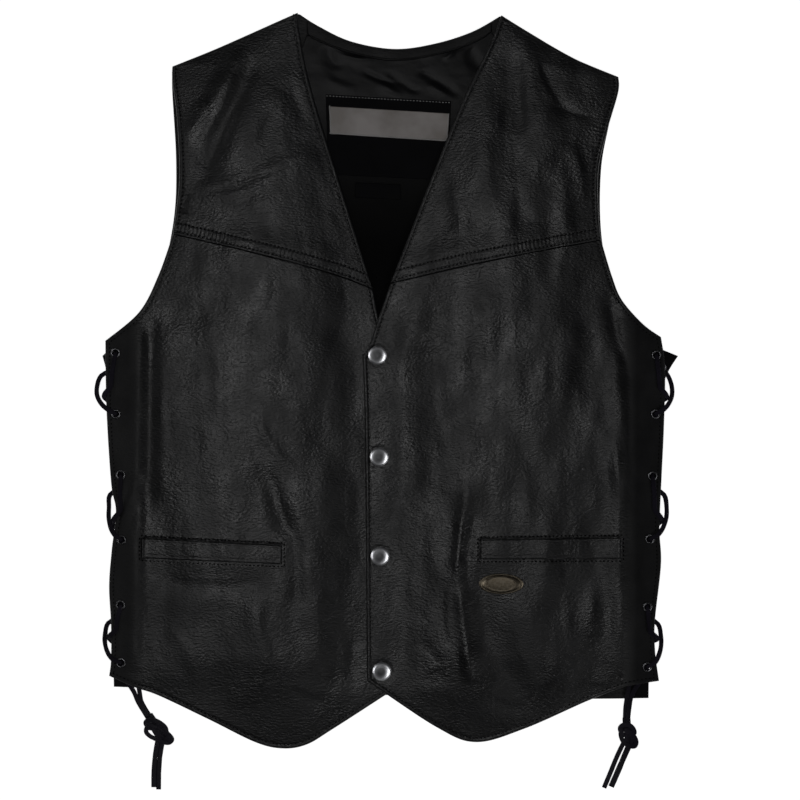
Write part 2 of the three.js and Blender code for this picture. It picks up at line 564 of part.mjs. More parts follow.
// Domed snap cap with a rolled rim
function addSnap(name, place) {
  const top = above(leftSurface, LEATHER);
  const { radius, height } = SNAP;
  const profile = [
    [0, 0], [radius - 0.6, 0], [radius, 0.7], [radius - 0.3, 1.3], [radius - 1.3, 1.6],
    [radius * 0.62, height * 0.82], [radius * 0.3, height * 0.97], [0, height],
  ];
  add(name, standOn(turned(profile, 12), top, place, SEAM_GAP), "gunmetal");
}

// Oval badge: a plate with a raised rim and a bare face
function addBadge() {
  const { halfWidth, halfHeight, base, rim, relief, lift } = BADGE;
  const profile = [
    [0, 0], [1, 0], [1, base + relief * 0.6], [1 - rim / halfWidth / 2, base + relief],
    [1 - rim / halfWidth * 1.4, base + relief * 0.5], [1 - rim / halfWidth * 1.8, base], [0, base + 0.1],
  ];
  const geometry = turned(profile, 20);
  geometry.scale(halfWidth, halfHeight, 1);
  add("badge", standOn(geometry, above(leftSurface, LEATHER), BADGE_PLACE, lift), "brass");
}

// Flat thong swept along points of [x, y, z, width]: its flat sides lie level wherever it runs level
function thong(points, stepsPerSpan) {
  const places = points.map(([x, y, z]) => new THREE.Vector3(x, y, z));
  const curve = new THREE.CatmullRomCurve3(places, false, "centripetal");
  const rings = (points.length - 1) * stepsPerSpan;
  const up = new THREE.Vector3(0, 0, 1);
  const frames = [];
  for (let k = 0; k <= rings; k++) {
    const t = k / rings;
    const tangent = curve.getTangent(t);
    const span = Math.min(points.length - 2, Math.floor(t * (points.length - 1)));
    const share = t * (points.length - 1) - span;
    const widthAt = (i) => points[i][3] ?? LACE.width;
    frames.push({
      centre: curve.getPoint(t),
      tangent,
      level: Math.hypot(tangent.x, tangent.y) > LEVEL,
      width: THREE.MathUtils.lerp(widthAt(span), widthAt(span + 1), share),
    });
  }
  // A level stretch sets the direction of the width, and the steep ones turn between them
  let previous = null;
  const levels = frames.map((frame, k) => ({ frame, k })).filter(({ frame }) => frame.level);
  for (const { frame } of levels) {
    frame.across = new THREE.Vector3().crossVectors(frame.tangent, up).normalize();
    if (previous && frame.across.dot(previous) < 0) frame.across.negate();
    previous = frame.across;
  }
  frames.forEach((frame, k) => {
    if (frame.level) return;
    const before = levels.filter((entry) => entry.k < k).at(-1) ?? levels[0];
    const after = levels.find((entry) => entry.k > k) ?? levels.at(-1);
    const share = after.k === before.k ? 0 : (k - before.k) / (after.k - before.k);
    frame.across = before.frame.across.clone().lerp(after.frame.across, share);
    frame.across.addScaledVector(frame.tangent, -frame.across.dot(frame.tangent)).normalize();
  });
  const sides = LACE_SECTION.length;
  const positions = [];
  const index = [];
  for (const { centre, tangent, across, width } of frames) {
    const normal = new THREE.Vector3().crossVectors(across, tangent).normalize();
    for (const [a, b] of LACE_SECTION) {
      const corner = centre.clone()
        .addScaledVector(across, (a * width) / 2)
        .addScaledVector(normal, (b * LACE.thickness) / 2);
      positions.push(...corner);
    }
  }
  for (let k = 0; k < rings; k++) {
    for (let s = 0; s < sides; s++) {
      const a = k * sides + s;
      const b = k * sides + ((s + 1) % sides);
      index.push(a, b + sides, b, a, a + sides, b + sides);
    }
  }
  for (let s = 1; s < sides - 1; s++) {
    index.push(0, s, s + 1);
    index.push(rings * sides, rings * sides + s + 1, rings * sides + s);
  }
  const geometry = new THREE.BufferGeometry();
  geometry.setAttribute("position", new THREE.Float32BufferAttribute(positions, 3));
  geometry.setIndex(index);
  return geometry;
}

// Down or up through an eyelet, coming from one place and going on to another
function throughEyelet([x, y], from, to, entryZ, exitZ) {
  const towards = (other, distance) => {
    const length = Math.hypot(other[0] - x, other[1] - y);
    return [x + ((other[0] - x) / length) * distance, y + ((other[1] - y) / length) * distance];
  };
  const inner = Math.sign(exitZ - entryZ);
  return [
    [...towards(from, LACE_LEAVES), entryZ, LACE.width],
    [...towards(from, LACE_PINCH), entryZ, LACE.pinched],
    [x, y, entryZ + inner, LACE.pinched],
    [x, y, exitZ - inner, LACE.pinched],
    [...towards(to, LACE_PINCH), exitZ, LACE.pinched],
    [...towards(to, LACE_LEAVES), exitZ, LACE.width],
  ];
}

// Loop from a back eyelet round the side edge, standing out from it, and onto the front
function outerLoop(side, k) {
  const { outward, front, back, reach } = LACING[side];
  const edge = side === "right" ? RIGHT.side : LEFT.side;
  const from = back[k];
  const to = front[k + 1];
  const rows = [
    { share: 0.2, out: 0.55, z: LACE_UNDER + 0.1 },
    { share: 0.42, out: 1, z: 3.2 },
    { share: 0.62, out: 0.97, z: 6.2 },
    { share: 0.8, out: 0.45, z: 9.6 },
    { share: 0.92, out: -0.25, z: LACE_OVER + 0.2 },
  ];
  return rows.map(({ share, out, z }) => {
    const y = THREE.MathUtils.lerp(from[1], to[1], share);
    return [edgeX(edge, y) + outward * reach[k / 2] * out, y, z];
  });
}

// Loop from a front eyelet along the margin, close round the edges and under the back
function innerLoop(side, k) {
  const { outward, front, back } = LACING[side];
  const frontEdge = side === "right" ? RIGHT.side : LEFT.side;
  const backEdge = side === "right" ? BACK.sideRight : BACK.sideLeft;
  const from = front[k];
  const to = back[k + 1];
  const rows = [
    { share: 0.3, edge: frontEdge, out: -5.6, z: LACE_OVER },
    { share: 0.48, edge: frontEdge, out: -4.4, z: LACE_OVER },
    { share: 0.54, edge: frontEdge, out: -1.5, z: LACE_OVER },
    { share: 0.56, edge: frontEdge, out: 1.2, z: 9.1 },
    { share: 0.56, edge: frontEdge, out: 1.5, z: 6.6 },
    { share: 0.56, edge: backEdge, out: 3, z: 3.6 },
    { share: 0.57, edge: backEdge, out: 1.4, z: 1.6 },
    { share: 0.6, edge: backEdge, out: -3, z: LACE_UNDER },
  ];
  return rows.map(({ share, edge, out, z }) => {
    const y = THREE.MathUtils.lerp(from[1], to[1], share);
    return [edgeX(edge, y) + outward * out, y, z];
  });
}

// Plain outer form of a tied knot: an oval cushion, larger all round by the given amount
function knotShape({ centre, halfWidth, halfLength, height, turn }, grow) {
  const low = 0.3 - grow;
  const profile = [
    [0, low], [0.8, low], [1, low + 0.9], [1, 2.8],
    [0.82, height * 0.78], [0.45, height + grow * 0.8], [0, height + 0.3 + grow],
  ];
  const geometry = turned(profile, 14);
  geometry.scale(halfWidth + grow, halfLength + grow, 1);
  geometry.rotateZ(turn);
  geometry.translate(centre[0], centre[1], 0);
  return geometry;
}

function addLacing(side) {
  const { front, back } = LACING[side];
  const ends = FREE_ENDS[side];
  const surface = side === "right" ? rightSurface : leftSurface;
  front.forEach((place, i) => addEyelet(`eyelet_front_${side}_${i + 1}`, surface, place));
  back.forEach((place, i) => addEyelet(`eyelet_back_${side}_${i + 1}`, backSurface, place));

  // From under the hem up strand A to the top, across inside, and down strand B
  const inner1 = innerLoop(side, 0);
  const outer1 = outerLoop(side, 0);
  const inner3 = innerLoop(side, 2);
  const outer3 = outerLoop(side, 2);
  const inner5 = innerLoop(side, 4);
  const outer5 = outerLoop(side, 4);
  const strandA = [
    ...throughEyelet(front[0], back[0], inner1[0], LACE_INSIDE + 0.3, LACE_OVER),
    ...inner1,
    ...throughEyelet(back[1], inner1.at(-1), back[2], LACE_UNDER, LACE_INSIDE),
    ...throughEyelet(back[2], back[1], outer3[0], LACE_INSIDE, LACE_UNDER),
    ...outer3,
    ...throughEyelet(front[3], outer3.at(-1), front[4], LACE_OVER, LACE_INSIDE),
    ...throughEyelet(front[4], front[3], inner5[0], LACE_INSIDE, LACE_OVER),
    ...inner5,
    ...throughEyelet(back[5], inner5.at(-1), ends.endA[0], LACE_UNDER, LACE_INSIDE),
  ];
  const strandB = [
    ...throughEyelet(back[0], front[0], outer1[0], LACE_INSIDE - 0.2, LACE_UNDER),
    ...outer1,
    ...throughEyelet(front[1], outer1.at(-1), front[2], LACE_OVER, LACE_INSIDE),
    ...throughEyelet(front[2], front[1], inner3[0], LACE_INSIDE, LACE_OVER),
    ...inner3,
    ...throughEyelet(back[3], inner3.at(-1), back[4], LACE_UNDER, LACE_INSIDE),
    ...throughEyelet(back[4], back[3], outer5[0], LACE_INSIDE, LACE_UNDER),
    ...outer5,
    ...throughEyelet(front[5], outer5.at(-1), ends.endB[0], LACE_OVER, LACE_INSIDE),
  ];
  add(`lace_${side}`, thong([...strandA.reverse(), ...strandB.slice(1)], 1), "thong");
  add(`lace_${side}_knot`, knotShape(ends.knot, 0), "thong");
  const grownKnot = toSolid(knotShape(ends.knot, SEAM_GAP));
  const intoKnot = (points) => toGeometry(toSolid(thong(points, 2)).subtract(grownKnot));
  add(`lace_${side}_end_a`, intoKnot(ends.endA), "thong");
  add(`lace_${side}_end_b`, intoKnot(ends.endB), "thong");
  add(`lace_${side}_tail_a`, intoKnot(ends.tailA), "thong");
  add(`lace_${side}_tail_b`, intoKnot(ends.tailB), "thong");
}

addBack();
addFront("front_right", RIGHT, rightSurface, LACING.right);
addFront("front_left", LEFT, leftSurface, LACING.left);
addLabels();
addWelt("welt_right", WELTS.right, rightSurface);
addWelt("welt_left", WELTS.left, leftSurface);
SNAPS.forEach((place, i) => addSnap(`snap_${i + 1}`, place));
addBadge();
addLacing("right");
addLacing("left");

export default vest;
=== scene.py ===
import json
import math

import bpy
import numpy as np
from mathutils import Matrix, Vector, noise

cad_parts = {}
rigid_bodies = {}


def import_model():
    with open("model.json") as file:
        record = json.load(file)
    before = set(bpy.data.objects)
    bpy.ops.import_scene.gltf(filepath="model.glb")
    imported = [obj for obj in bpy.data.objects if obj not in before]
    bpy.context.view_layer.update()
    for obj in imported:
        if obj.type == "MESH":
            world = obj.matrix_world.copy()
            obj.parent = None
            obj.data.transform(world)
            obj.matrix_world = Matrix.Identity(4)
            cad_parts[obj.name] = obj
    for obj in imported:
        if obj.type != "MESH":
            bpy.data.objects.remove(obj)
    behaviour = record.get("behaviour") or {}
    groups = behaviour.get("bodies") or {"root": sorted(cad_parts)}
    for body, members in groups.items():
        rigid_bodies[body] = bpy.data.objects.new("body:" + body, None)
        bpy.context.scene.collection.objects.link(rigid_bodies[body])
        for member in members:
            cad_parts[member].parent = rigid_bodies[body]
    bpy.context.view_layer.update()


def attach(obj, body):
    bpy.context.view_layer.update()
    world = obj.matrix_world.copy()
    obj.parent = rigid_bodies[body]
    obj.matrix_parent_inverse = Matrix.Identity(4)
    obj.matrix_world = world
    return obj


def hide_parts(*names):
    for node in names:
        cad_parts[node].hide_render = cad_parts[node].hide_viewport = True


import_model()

# A leather vest laid flat on its back with the front up.
# Shapes are worked out in millimetres: +X is the wearer's left, +Y the neck, +Z up, z = 0 the surface.
METRE = 0.001
MILLIMETRES = (1000, 1000, 1000)  # scale of the coordinates in the materials

# Cloth walls
LEATHER = 1.4
SATIN = 1.0
SEAM_GAP = 0.3
# The yoke lies this much higher in a band along its seam, which fades out above it
SEAM_STEP = 0.8
SEAM_BAND = 11
SEAM_FADE = 18
# How the back's margins lie up on the laces: by how much, and where that fades
BACK_LIFT = {"height": 2.5, "edge": (27, 42), "top": (26, 58), "hem": (-290, -262), "hem_share": 0.35}
RIM = 0.5  # the cut edges round off over this distance
TUCK = 5  # the body's top edge runs this far up beneath the yoke
TUCK_IN = 1.2  # and its ends this far in from the edges
TUCK_DROP = 0.95  # it steps down by this much just at the seam
TUCK_STEP = (-0.35, 0.05)

# Turned edges and topstitching
STITCH_IN = 3.7
STITCH_PITCH = 3.6
STITCH_LENGTH = 2.0
THREAD = 0.6
TURN_PUFF = 0.45
BACK_TURN = 0.6  # share of the fronts' edge relief that the back's edge has
GROOVE = {"depth": 0.1, "pit": 0.46, "width": 0.6}
SEAM_ROWS = (2.8, 10.5)
# What the yoke's seam adds: its lip, the swell and the ribs between the two rows, and the ribs above them
SEAM_RELIEF = {"lip": 0.06, "swell": 0.1, "rib": 0.44, "above": 0.07, "above_at": 1.5, "above_width": 3}
# How far the ribs beside the edge stitches reach, on the body by height, and how high they are
RIB_REACH = {"low": 5, "high": 11, "low_y": 0, "high_y": 60, "yoke": 9.0, "back": 6.0}
RIB_RISE = {"body": 0.16, "yoke": 0.2}
# Distances from an edge at which the meshes have a line of points
EDGE_LINES = (0.25, 0.6, 1.1, 1.8, 2.6, 3.2, 3.7, 4.2, 5.2)
SEAM_LINES = (0.25, 0.6, 1.0, 1.6, 2.2, 2.8, 3.4, 4.4, 5.8, 7.2, 8.6, 9.5, 10.0, 10.5, 11.0, 11.7, 12.8, 14.2)
TUCK_LINES = (0.3, 0.7, 1.1, 2.6, 4.0, 4.6, 4.9, 5.2, 5.6, 6.2, 7.2, 8.6)
# An edge that meets the seam aslant has its lines this much further apart
ASLANT = {"armhole_lower": 1.05, "neck_lower": 1.2, "armhole_upper": 1.02, "neck_upper": 1.25}

# Laces and eyelets
LACE = {"width": 4.2, "thickness": 1.5, "pinched": 3.2, "uneven": 0.07, "uneven_length": 11}
LACE_AT_EYELET = {"near": 1.1, "away": 4.6}
LEVEL_RUN = 0.6  # a lace lies flat where its direction is at least this much in the plan
LACE_UNDER = 1.1
LACE_INSIDE = 5.3
LACE_OVER = 10
EYELET = {"bore": 2.7, "barrel": 3.1, "flange": 4.4, "lip": 0.35, "clearance": 0.2, "roll": 0.62}
EYELET_HOLE = EYELET["barrel"] + SEAM_GAP
PUNCH = {"heights": (-5, 30), "sides": 24}

# Unevenness of the leather, calm near the free edges.
# Each row: size of the features across and down, rise, what is added to the panel's seed
UNEVEN = [((38, 70), 1.3, 0), ((19, 60), 0.38, 5), ((15, 19), 0.16, 11)]
CALM = {"least": 0.15, "from": 4, "to": 34}
CREASE_GAIN = 1.3

# Trim on the panels
SNAP = {"radius": 8.3, "height": 3.4, "dimple": 0.6, "dimple_width": 1.7}
WELT = {"thickness": 1.3, "lift": 0.35, "crown": 0.3, "lip": 0.25, "columns": 80, "rows": 8}
BADGE = {"half_width": 20, "half_height": 9.2, "base": 1.4, "rim": 1.6, "relief": 0.8}

# Outlines, each from the wearer's neck or armhole downwards, as (x, y) of the points it runs through
RIGHT = {
    "shoulder": [(-83.7, 331.7), (-116.5, 317.2), (-158.8, 298.4), (-196.7, 283.1)],
    "armhole_upper": [(-196.7, 283.1), (-196.7, 270.4), (-192.2, 234.5), (-190.1, 180.5), (-195.8, 131.8)],
    "armhole_lower": [(-195.8, 131.8), (-209.2, 94.0), (-226.3, 61.6), (-256.7, 35.7)],
    "side": [
        (-256.7, 35.7), (-255.7, -25), (-251.5, -92), (-247.2, -118), (-251, -153),
        (-253.3, -185), (-251.6, -219), (-251.6, -251), (-253.3, -265.9),
    ],
    "hem": [
        (-253.3, -265.9), (-230, -276.3), (-208.3, -283.9), (-163.3, -305.6), (-122, -326.2),
        (-97.7, -331.9), (-76, -328.5), (-52.6, -314.6), (5, -277.2),
    ],
    "neck_upper": [(-83.7, 331.7), (-82.4, 314.6), (-71.5, 262.4), (-47.6, 184.1), (-15.8, 82.4)],
    "neck_lower": [(-15.8, 82.4), (-10.3, 55.4), (-1.4, 25.7)],
    "front_edge": [(-1.4, 25.7), (2.2, -62.6), (5, -277.2)],
    "seam": [(-195.8, 131.8), (-119.2, 113.9), (-54.5, 96.8), (-15.8, 82.4)],
}
LEFT = {
    "shoulder": [(99.9, 329.4), (128.2, 311.9), (166.1, 290.2), (205.5, 273.6)],
    "armhole_upper": [
        (205.5, 273.6), (205.2, 259.7), (194.8, 223.7), (187.2, 189.5), (187.2, 149), (189.5, 126.5),
    ],
    "armhole_lower": [(189.5, 126.5), (199.3, 94), (208.3, 72.5), (227.2, 50.9), (243.5, 39.1)],
    "side": [
        (243.5, 39.1), (247.1, 10), (246.2, -40), (243.9, -89.5), (242.1, -132.8),
        (243.5, -165.2), (238.1, -215.6), (238.1, -242.6), (241.7, -270.4),
    ],
    "hem": [
        (241.7, -270.4), (211.1, -275.9), (177.8, -288.4), (120.2, -314.1), (77, -326.2),
        (41, -312.3), (-21.2, -270.4),
    ],
    "neck_upper": [(99.9, 329.4), (88.7, 301.1), (64.8, 251.7), (38.2, 186.3), (8.6, 110.5), (0, 87.8)],
    "neck_lower": [(0, 87.8), (-9.7, 60), (-19.4, 31.1), (-25.2, 22.1)],
    "front_edge": [(-25.2, 22.1), (-23.3, -30), (-22.1, -139.1), (-21.2, -270.4)],
    "seam": [(189.5, 126.5), (134.6, 116.5), (71.5, 104), (8.6, 89.5), (0, 87.8)],
}
FRONTS = {"right": RIGHT, "left": LEFT}
BACK = {
    "neckline": [
        (-83.7, 331.7), (-65.2, 319.9), (-35.6, 306), (3.1, 299.2), (39.1, 303.8), (73.4, 314.6),
        (99.9, 329.4),
    ],
    "armhole_right": [
        (-196.7, 283.1), (-197, 262), (-193.5, 200), (-195, 150), (-204.8, 99.5),
        (-214.7, 74.2), (-229.1, 52.6), (-259.7, 22.2),
    ],
    "armhole_left": [
        (205.5, 273.6), (197.6, 233.6), (189.9, 189.5), (190.3, 131), (201.2, 77.9),
        (215.6, 52.6), (231.8, 34.6), (259.2, 22.1),
    ],
    "side_right": [
        (-259.7, 22.2), (-256.1, 7.7), (-252.5, -20), (-247.1, -107.5), (-248, -161.6),
        (-249.8, -215.6), (-249.5, -276.1),
    ],
    "side_left": [
        (259.2, 22.1), (249.8, 6.8), (243, -15), (240, -60), (238.1, -161.6), (233.6, -242.6),
        (232.7, -286.4),
    ],
    "hem": [(-249.5, -276.1), (-153.5, -279.4), (-0.5, -283.9), (152.6, -287.1), (232.7, -286.4)],
}
LINING = {
    "gap": 1,
    "right_shoulder": [(-172, 248), (-104, 280), (-82, 297)],
    "left_shoulder": [(101, 296), (114, 278), (176, 244)],
    "right": [(-168, 150), (-184, 80), (-202, 20), (-202, -262)],
    "left": [(162, 150), (171, 80), (185, 20), (185, -266)],
}
# Columns of points across the lining
LINING_COLUMNS = 128
# Rows of points down the lining, as shares of its height: first, last, count
LINING_ROWS = [(0.012, 0.2, 64), (0.205, 0.42, 24), (0.43, 0.985, 14)]
FACING = {"inset": 0.4, "depth": 9, "end_depth": 13, "margin": 0.05}
NECK_LABEL = {"corners": [(-58.5, 257.9), (54.5, 251.6), (51.8, 180.5), (-56, 185.8)], "thickness": 0.8}
LABEL_BAND = {"corners": [(-55.5, 247.1), (53, 240.6), (51.4, 215.4), (-54.5, 222.2)], "thickness": 0.5}
SIZE_TAB = {"corners": [(-32, 178.5), (9, 176.5), (9, 163), (-32, 165)], "thickness": 0.8}
PATCH_RIPPLE = {"rise": 0.15, "size": (21, 15)}
# Pale stitches along the neck label's top edge and round three sides of its band
LABEL_ROW = {"inset": 1.3, "pitch": 2.9, "length": 1.5, "thread": 0.3}
BAND_ROW = {"inset": 0.7, "pitch": 1.5, "length": 1.9, "thread": 0.35, "lift": 0.2}

# Height of a front's underside at rows down the body. The columns lie at these shares of the way across
# from the armhole, side or hem to the neck, front edge or hem.
ACROSS = [0, 0.1, 0.45, 0.72, 0.88, 1]
# Each row: y, outer, margin, crown, slope, placket, inner
RIGHT_LOFT = [
    (331.7, 1.7, 1.7, 1.7, 1.7, 1.7, 1.7),
    (318, 1.7, 1.9, 2.5, 2.8, 2.9, 3.0),
    (290, 1.7, 2.6, 4.6, 4.8, 4.4, 4.0),
    (262, 3.8, 5.0, 8.0, 7.6, 6.4, 5.2),
    (220, 6.4, 7.4, 10.5, 9.6, 7.2, 5.4),
    (160, 7.2, 8.6, 12, 10.5, 7.2, 5.4),
    (90, 7.2, 8.8, 12.6, 10.4, 5.4, 4.0),
    (58, 7.0, 8.4, 12.6, 10.2, 4.2, 3.4),
    (30, 6.9, 8.0, 12.6, 9.8, 3.6, 3.2),
    (-150, 6.9, 7.7, 12.6, 9.6, 3.6, 3.2),
    (-245, 6.9, 7.4, 11, 8.4, 3.6, 3.2),
    (-270, 6.6, 6.9, 8.6, 6.6, 3.6, 3.2),
    (-300, 4.6, 4.6, 4.4, 4.0, 3.2, 2.8),
    (-332, 0.4, 0.4, 0.4, 0.4, 0.4, 0.4),
]
LEFT_LOFT = [
    (329.4, 1.7, 1.7, 1.7, 1.7, 1.7, 1.7),
    (316, 1.7, 1.9, 2.5, 2.8, 2.9, 3.0),
    (286, 1.7, 2.6, 4.8, 4.8, 4.4, 4.0),
    (255, 3.8, 5.0, 8.0, 7.6, 6.4, 5.2),
    (218, 6.4, 7.4, 10.5, 9.6, 7.4, 5.6),
    (160, 7.2, 8.6, 12, 10.8, 7.8, 5.8),
    (90, 7.2, 8.8, 12.6, 11, 7.0, 5.6),
    (58, 7.0, 8.4, 12.6, 11, 6.4, 5.4),
    (30, 6.9, 8.0, 12.6, 10.8, 5.8, 5.3),
    (-150, 6.9, 7.7, 12.6, 10.6, 5.8, 5.3),
    (-245, 6.9, 7.4, 11, 9.4, 5.8, 5.3),
    (-268, 6.6, 6.9, 8.8, 7.6, 5.6, 5.2),
    (-298, 4.6, 4.6, 4.4, 4.2, 4.0, 3.8),
    (-326.5, 0.4, 0.4, 0.4, 0.4, 0.4, 0.4),
]

# Folds of the solids: soft ridges (rise > 0) and troughs (rise < 0) along a line, with their half-width.
# Each row: x0, y0, x1, y1, width, rise
RIGHT_FOLDS = [
    (-131, 272, -164, 196, 10, -1.7),
    (-138, 284, -178, 228, 8, 1.2),
    (-128, 176, -140, 140, 10, -1.2),
    (-165, 171, -80, 199, 7, 0.6),
    (-225, 28, -227, -80, 6, 1.1),
    (-216, 42, -218, -100, 8, -1.5),
    (-224, -95, -233, -128, 5, -1.0),
    (-230, -150, -231, -240, 6, 0.9),
    (-109, -91, -96, -128, 9, -1.5),
    (-84, -145, -84, -190, 7, -1.3),
    (-187, -183, -130, -183, 10, -1.3),
    (-151, -218, -150, -263, 18, -1.6),
]
LEFT_FOLDS = [
    (109, 278, 114, 207, 12, -1.6),
    (138, 272, 155, 243, 9, -1.3),
    (153, 246, 176, 239, 6, -0.4),
    (67, 67, 82, 60, 6, -0.35),
    (200, 62, 213, 5, 8, -1.6),
    (214, 0, 219, -100, 7, -1.5),
    (204, 10, 207, -85, 7, 1.2),
    (68, -108, 60, -162, 7, 1.3),
    (61, -168, 72, -262, 8, 1.3),
    (80, -190, 104, -258, 14, -1.5),
    (152, 88, 152, -10, 12, 0.9),
    (178, 88, 180, -10, 10, -0.9),
]

# Finer creases in the leather, narrower than the folds and bent.
# Each row: x0, y0, x1, y1, width, rise, bend
RIGHT_CREASES = [
    (-227, 52, -231, -262, 9, 2.2, 0),
    (-165, 171, -80, 199, 1.8, -0.4, 3),
    (-128, 268, -166, 190, 7.0, -0.8, 2),
    (-170, 163, -118, 176, 4.0, 0.5, 2),
    (-92, 272, -74, 226, 8, -0.5, 2),
    (-76, 214, -62, 168, 8, 0.5, -2),
    (-182, 168, -186, 150, 4.0, -0.7, 2),
    (-140, 276, -172, 216, 6, 0.8, -3),
    (-100, 262, -130, 204, 9, 0.7, 4),
    (-112, 160, -104, 122, 9, -0.6, 3),
    (-60, 152, -44, 116, 8, 0.4, -2),
    (-231, -88, -248, -143, 3.0, -0.8, 2),
    (-205, 20, -200, -70, 6.0, 0.6, 4),
    (-176, 70, -168, -40, 9.0, -0.5, -6),
    (-130, 60, -112, -60, 10.0, 0.5, 7),
    (-60, 20, -52, -90, 9.0, -0.5, 5),
    (-120, -30, -85, -80, 5.0, 0.5, 5),
    (-104, -84, -92, -140, 7.0, -0.5, 3),
    (-46, -206, -26, -240, 10.0, -0.6, 3),
    (-196, -176, -128, -178, 5.0, 0.3, 2),
    (-222, -190, -214, -244, 5.0, 0.6, 3),
    (-200, -222, -176, -262, 6.0, 0.5, -4),
    (-120, -200, -104, -262, 7.0, 0.5, 5),
    (-66, -190, -54, -250, 7.0, 0.5, 4),
    (-90, -276, -60, -290, 5.0, -0.5, 2),
]
LEFT_CREASES = [
    (209, 56, 209, -266, 9, 2.5, 3),
    (153, 247, 178, 238, 2.6, -0.4, 1),
    (130, 292, 150, 247, 4.0, 0.6, 3),
    (113, 270, 118, 222, 4.5, -0.6, -2),
    (70, 236, 92, 190, 11.0, 0.4, 3),
    (160, 214, 172, 160, 7.0, 0.6, -4),
    (110, 196, 128, 140, 8.0, -0.5, 5),
    (44, 190, 60, 120, 12.0, -0.5, 3),
    (196, 80, 222, -6, 3.5, -0.6, 4),
    (206, 12, 211, -100, 3.5, -0.7, 3),
    (222, 4, 226, -90, 4.0, 0.7, -3),
    (150, 80, 140, -60, 9.0, 0.5, 7),
    (98, 64, 92, -60, 9.0, -0.5, -6),
    (40, 40, 48, -70, 8.0, 0.4, 5),
    (68, -108, 60, -186, 3.8, 0.75, 2),
    (60, -186, 72, -272, 4.2, 0.8, -2),
    (76, -118, 69, -190, 5.0, -0.7, 2),
    (74, -198, 114, -284, 12.0, -0.9, 4),
    (30, -234, 42, -256, 9.0, -0.6, 3),
    (16, -240, 40, -262, 8.0, 0.5, -3),
    (180, -178, 196, -256, 9.0, 0.4, 6),
    (150, -186, 166, -262, 7.0, -0.5, 5),
    (110, -200, 128, -268, 6.0, 0.5, 4),
    (48, -180, 52, -240, 5.0, -0.6, 3),
    (214, -176, 218, -246, 5.0, 0.5, 2),
    (84, -284, 120, -296, 5.0, -0.5, 2),
]

# Wrinkles of the satin at the neck: x0, y0, x1, y1, width, rise, bend
LINING_WRINKLES = [
    (-2, 278, 27, 259, 1.7, -1.2, 1),
    (-24, 279, 5, 267, 1.8, -1.0, 1),
    (26, 279, 64, 254, 2.4, -1.5, -2),
    (-58, 301, -46, 281, 5.0, -0.7, 2),
    (-44, 294, -16, 291, 2.6, 0.7, 2),
    (4, 290, 42, 294, 2.4, 0.7, -3),
    (50, 290, 56, 299, 2.2, 0.8, 1),
    (72, 300, 84, 281, 4.5, -1.3, 2),
    (-10, 272, 14, 252, 3.0, 0.8, 1),
    (34, 268, 58, 250, 2.8, 0.8, -2),
    (-60, 274, -30, 262, 5.0, 0.5, 2),
    (-20, 162, 10, 150, 5.0, 0.7, 2),
    (-24, 140, 6, 128, 5.0, -0.7, 2),
]

# Where the leather of the side margins turns dull: x at which that starts and is complete, and how much
MARGINS = [(-222, -236, 0.3), (208, 222, 0.5)]

# Patches where the leather is worn smoother (change < 0) or duller (change > 0).
# Each row: x, y, half-width, half-length, change in roughness
SHEEN = [
    (16, -37, 14, 95, -0.07),
    (66, 8, 20, 30, -0.09),
    (40, -172, 34, 80, -0.035),
    (34, -257, 28, 30, -0.07),
    (183, -224, 22, 60, -0.04),
    (63, -150, 6, 60, -0.06),
    (66, -230, 7, 60, -0.07),
    (168, 172, 18, 56, -0.04),
    (112, -245, 34, 64, 0.1),
    (92, -170, 18, 60, 0.04),
    (76, 70, 64, 30, 0.04),
    (196, -172, 20, 62, 0.07),
    (-125, -45, 70, 100, -0.035),
    (-50, -60, 30, 150, 0.03),
    (-205, -200, 26, 95, 0.08),
    (-150, -244, 30, 40, 0.05),
    (-135, 262, 10, 28, 0.09),
    (-150, 230, 10, 30, 0.09),
    (-162, 200, 10, 26, 0.08),
    (-140, 290, 10, 24, -0.06),
    (-161, 255, 10, 28, -0.06),
    (-177, 222, 10, 28, -0.05),
]

# Places of the trim, as (x, y)
SNAPS = [(-11.8, 22.6), (-10.1, -68.9), (-9.5, -158.3), (-7.9, -261.9)]
BADGE_PLACE = (99.5, -182.6)
# Ends of the pocket welts: x, y of the upper edge, y of the lower edge
WELTS = {
    "right": {"outer": (-223.4, -142, -159.8), "inner": (-97.7, -148.3, -165)},
    "left": {"outer": (207.2, -141.4, -160.1), "inner": (80.9, -143.1, -160.6)},
}
WELT_GROOVE = {"width": 0.9, "depth": 0.45, "top_depth": 1.3}
WELT_RIDGE = {"at": 2.3, "width": 1.4, "rise": 0.16}
WELT_STITCH = {"at": 2.3, "depth": 0.15, "width": 0.6}
WELT_RIPPLE = {"rise": 0.16, "size": (3.4, 12), "fade": 3.5}

# Side lacing, top to bottom: eyelet places, and how far each of the three loops stands out past the edge
LACING = {
    "right": {
        "outward": -1,
        "front": [
            (-247.4, 24.8), (-247, -30.2), (-242.6, -85), (-241.8, -143.5), (-242.5, -202),
            (-242.5, -254),
        ],
        "back": [(-241.5, 13), (-239, -38), (-234.6, -93), (-233.8, -151), (-234.5, -210), (-234.5, -249)],
        "reach": [8.4, 6.4, 5.6],
    },
    "left": {
        "outward": 1,
        "front": [
            (239.2, 22.9), (238.4, -30.2), (235.9, -86), (233.5, -142.7), (231.2, -203.8),
            (231, -257.9),
        ],
        "back": [(244.5, 12), (231, -38), (228.5, -93), (226, -150), (223.5, -210), (222.5, -250)],
        "reach": [6.6, 6.2, 5.6],
    },
}

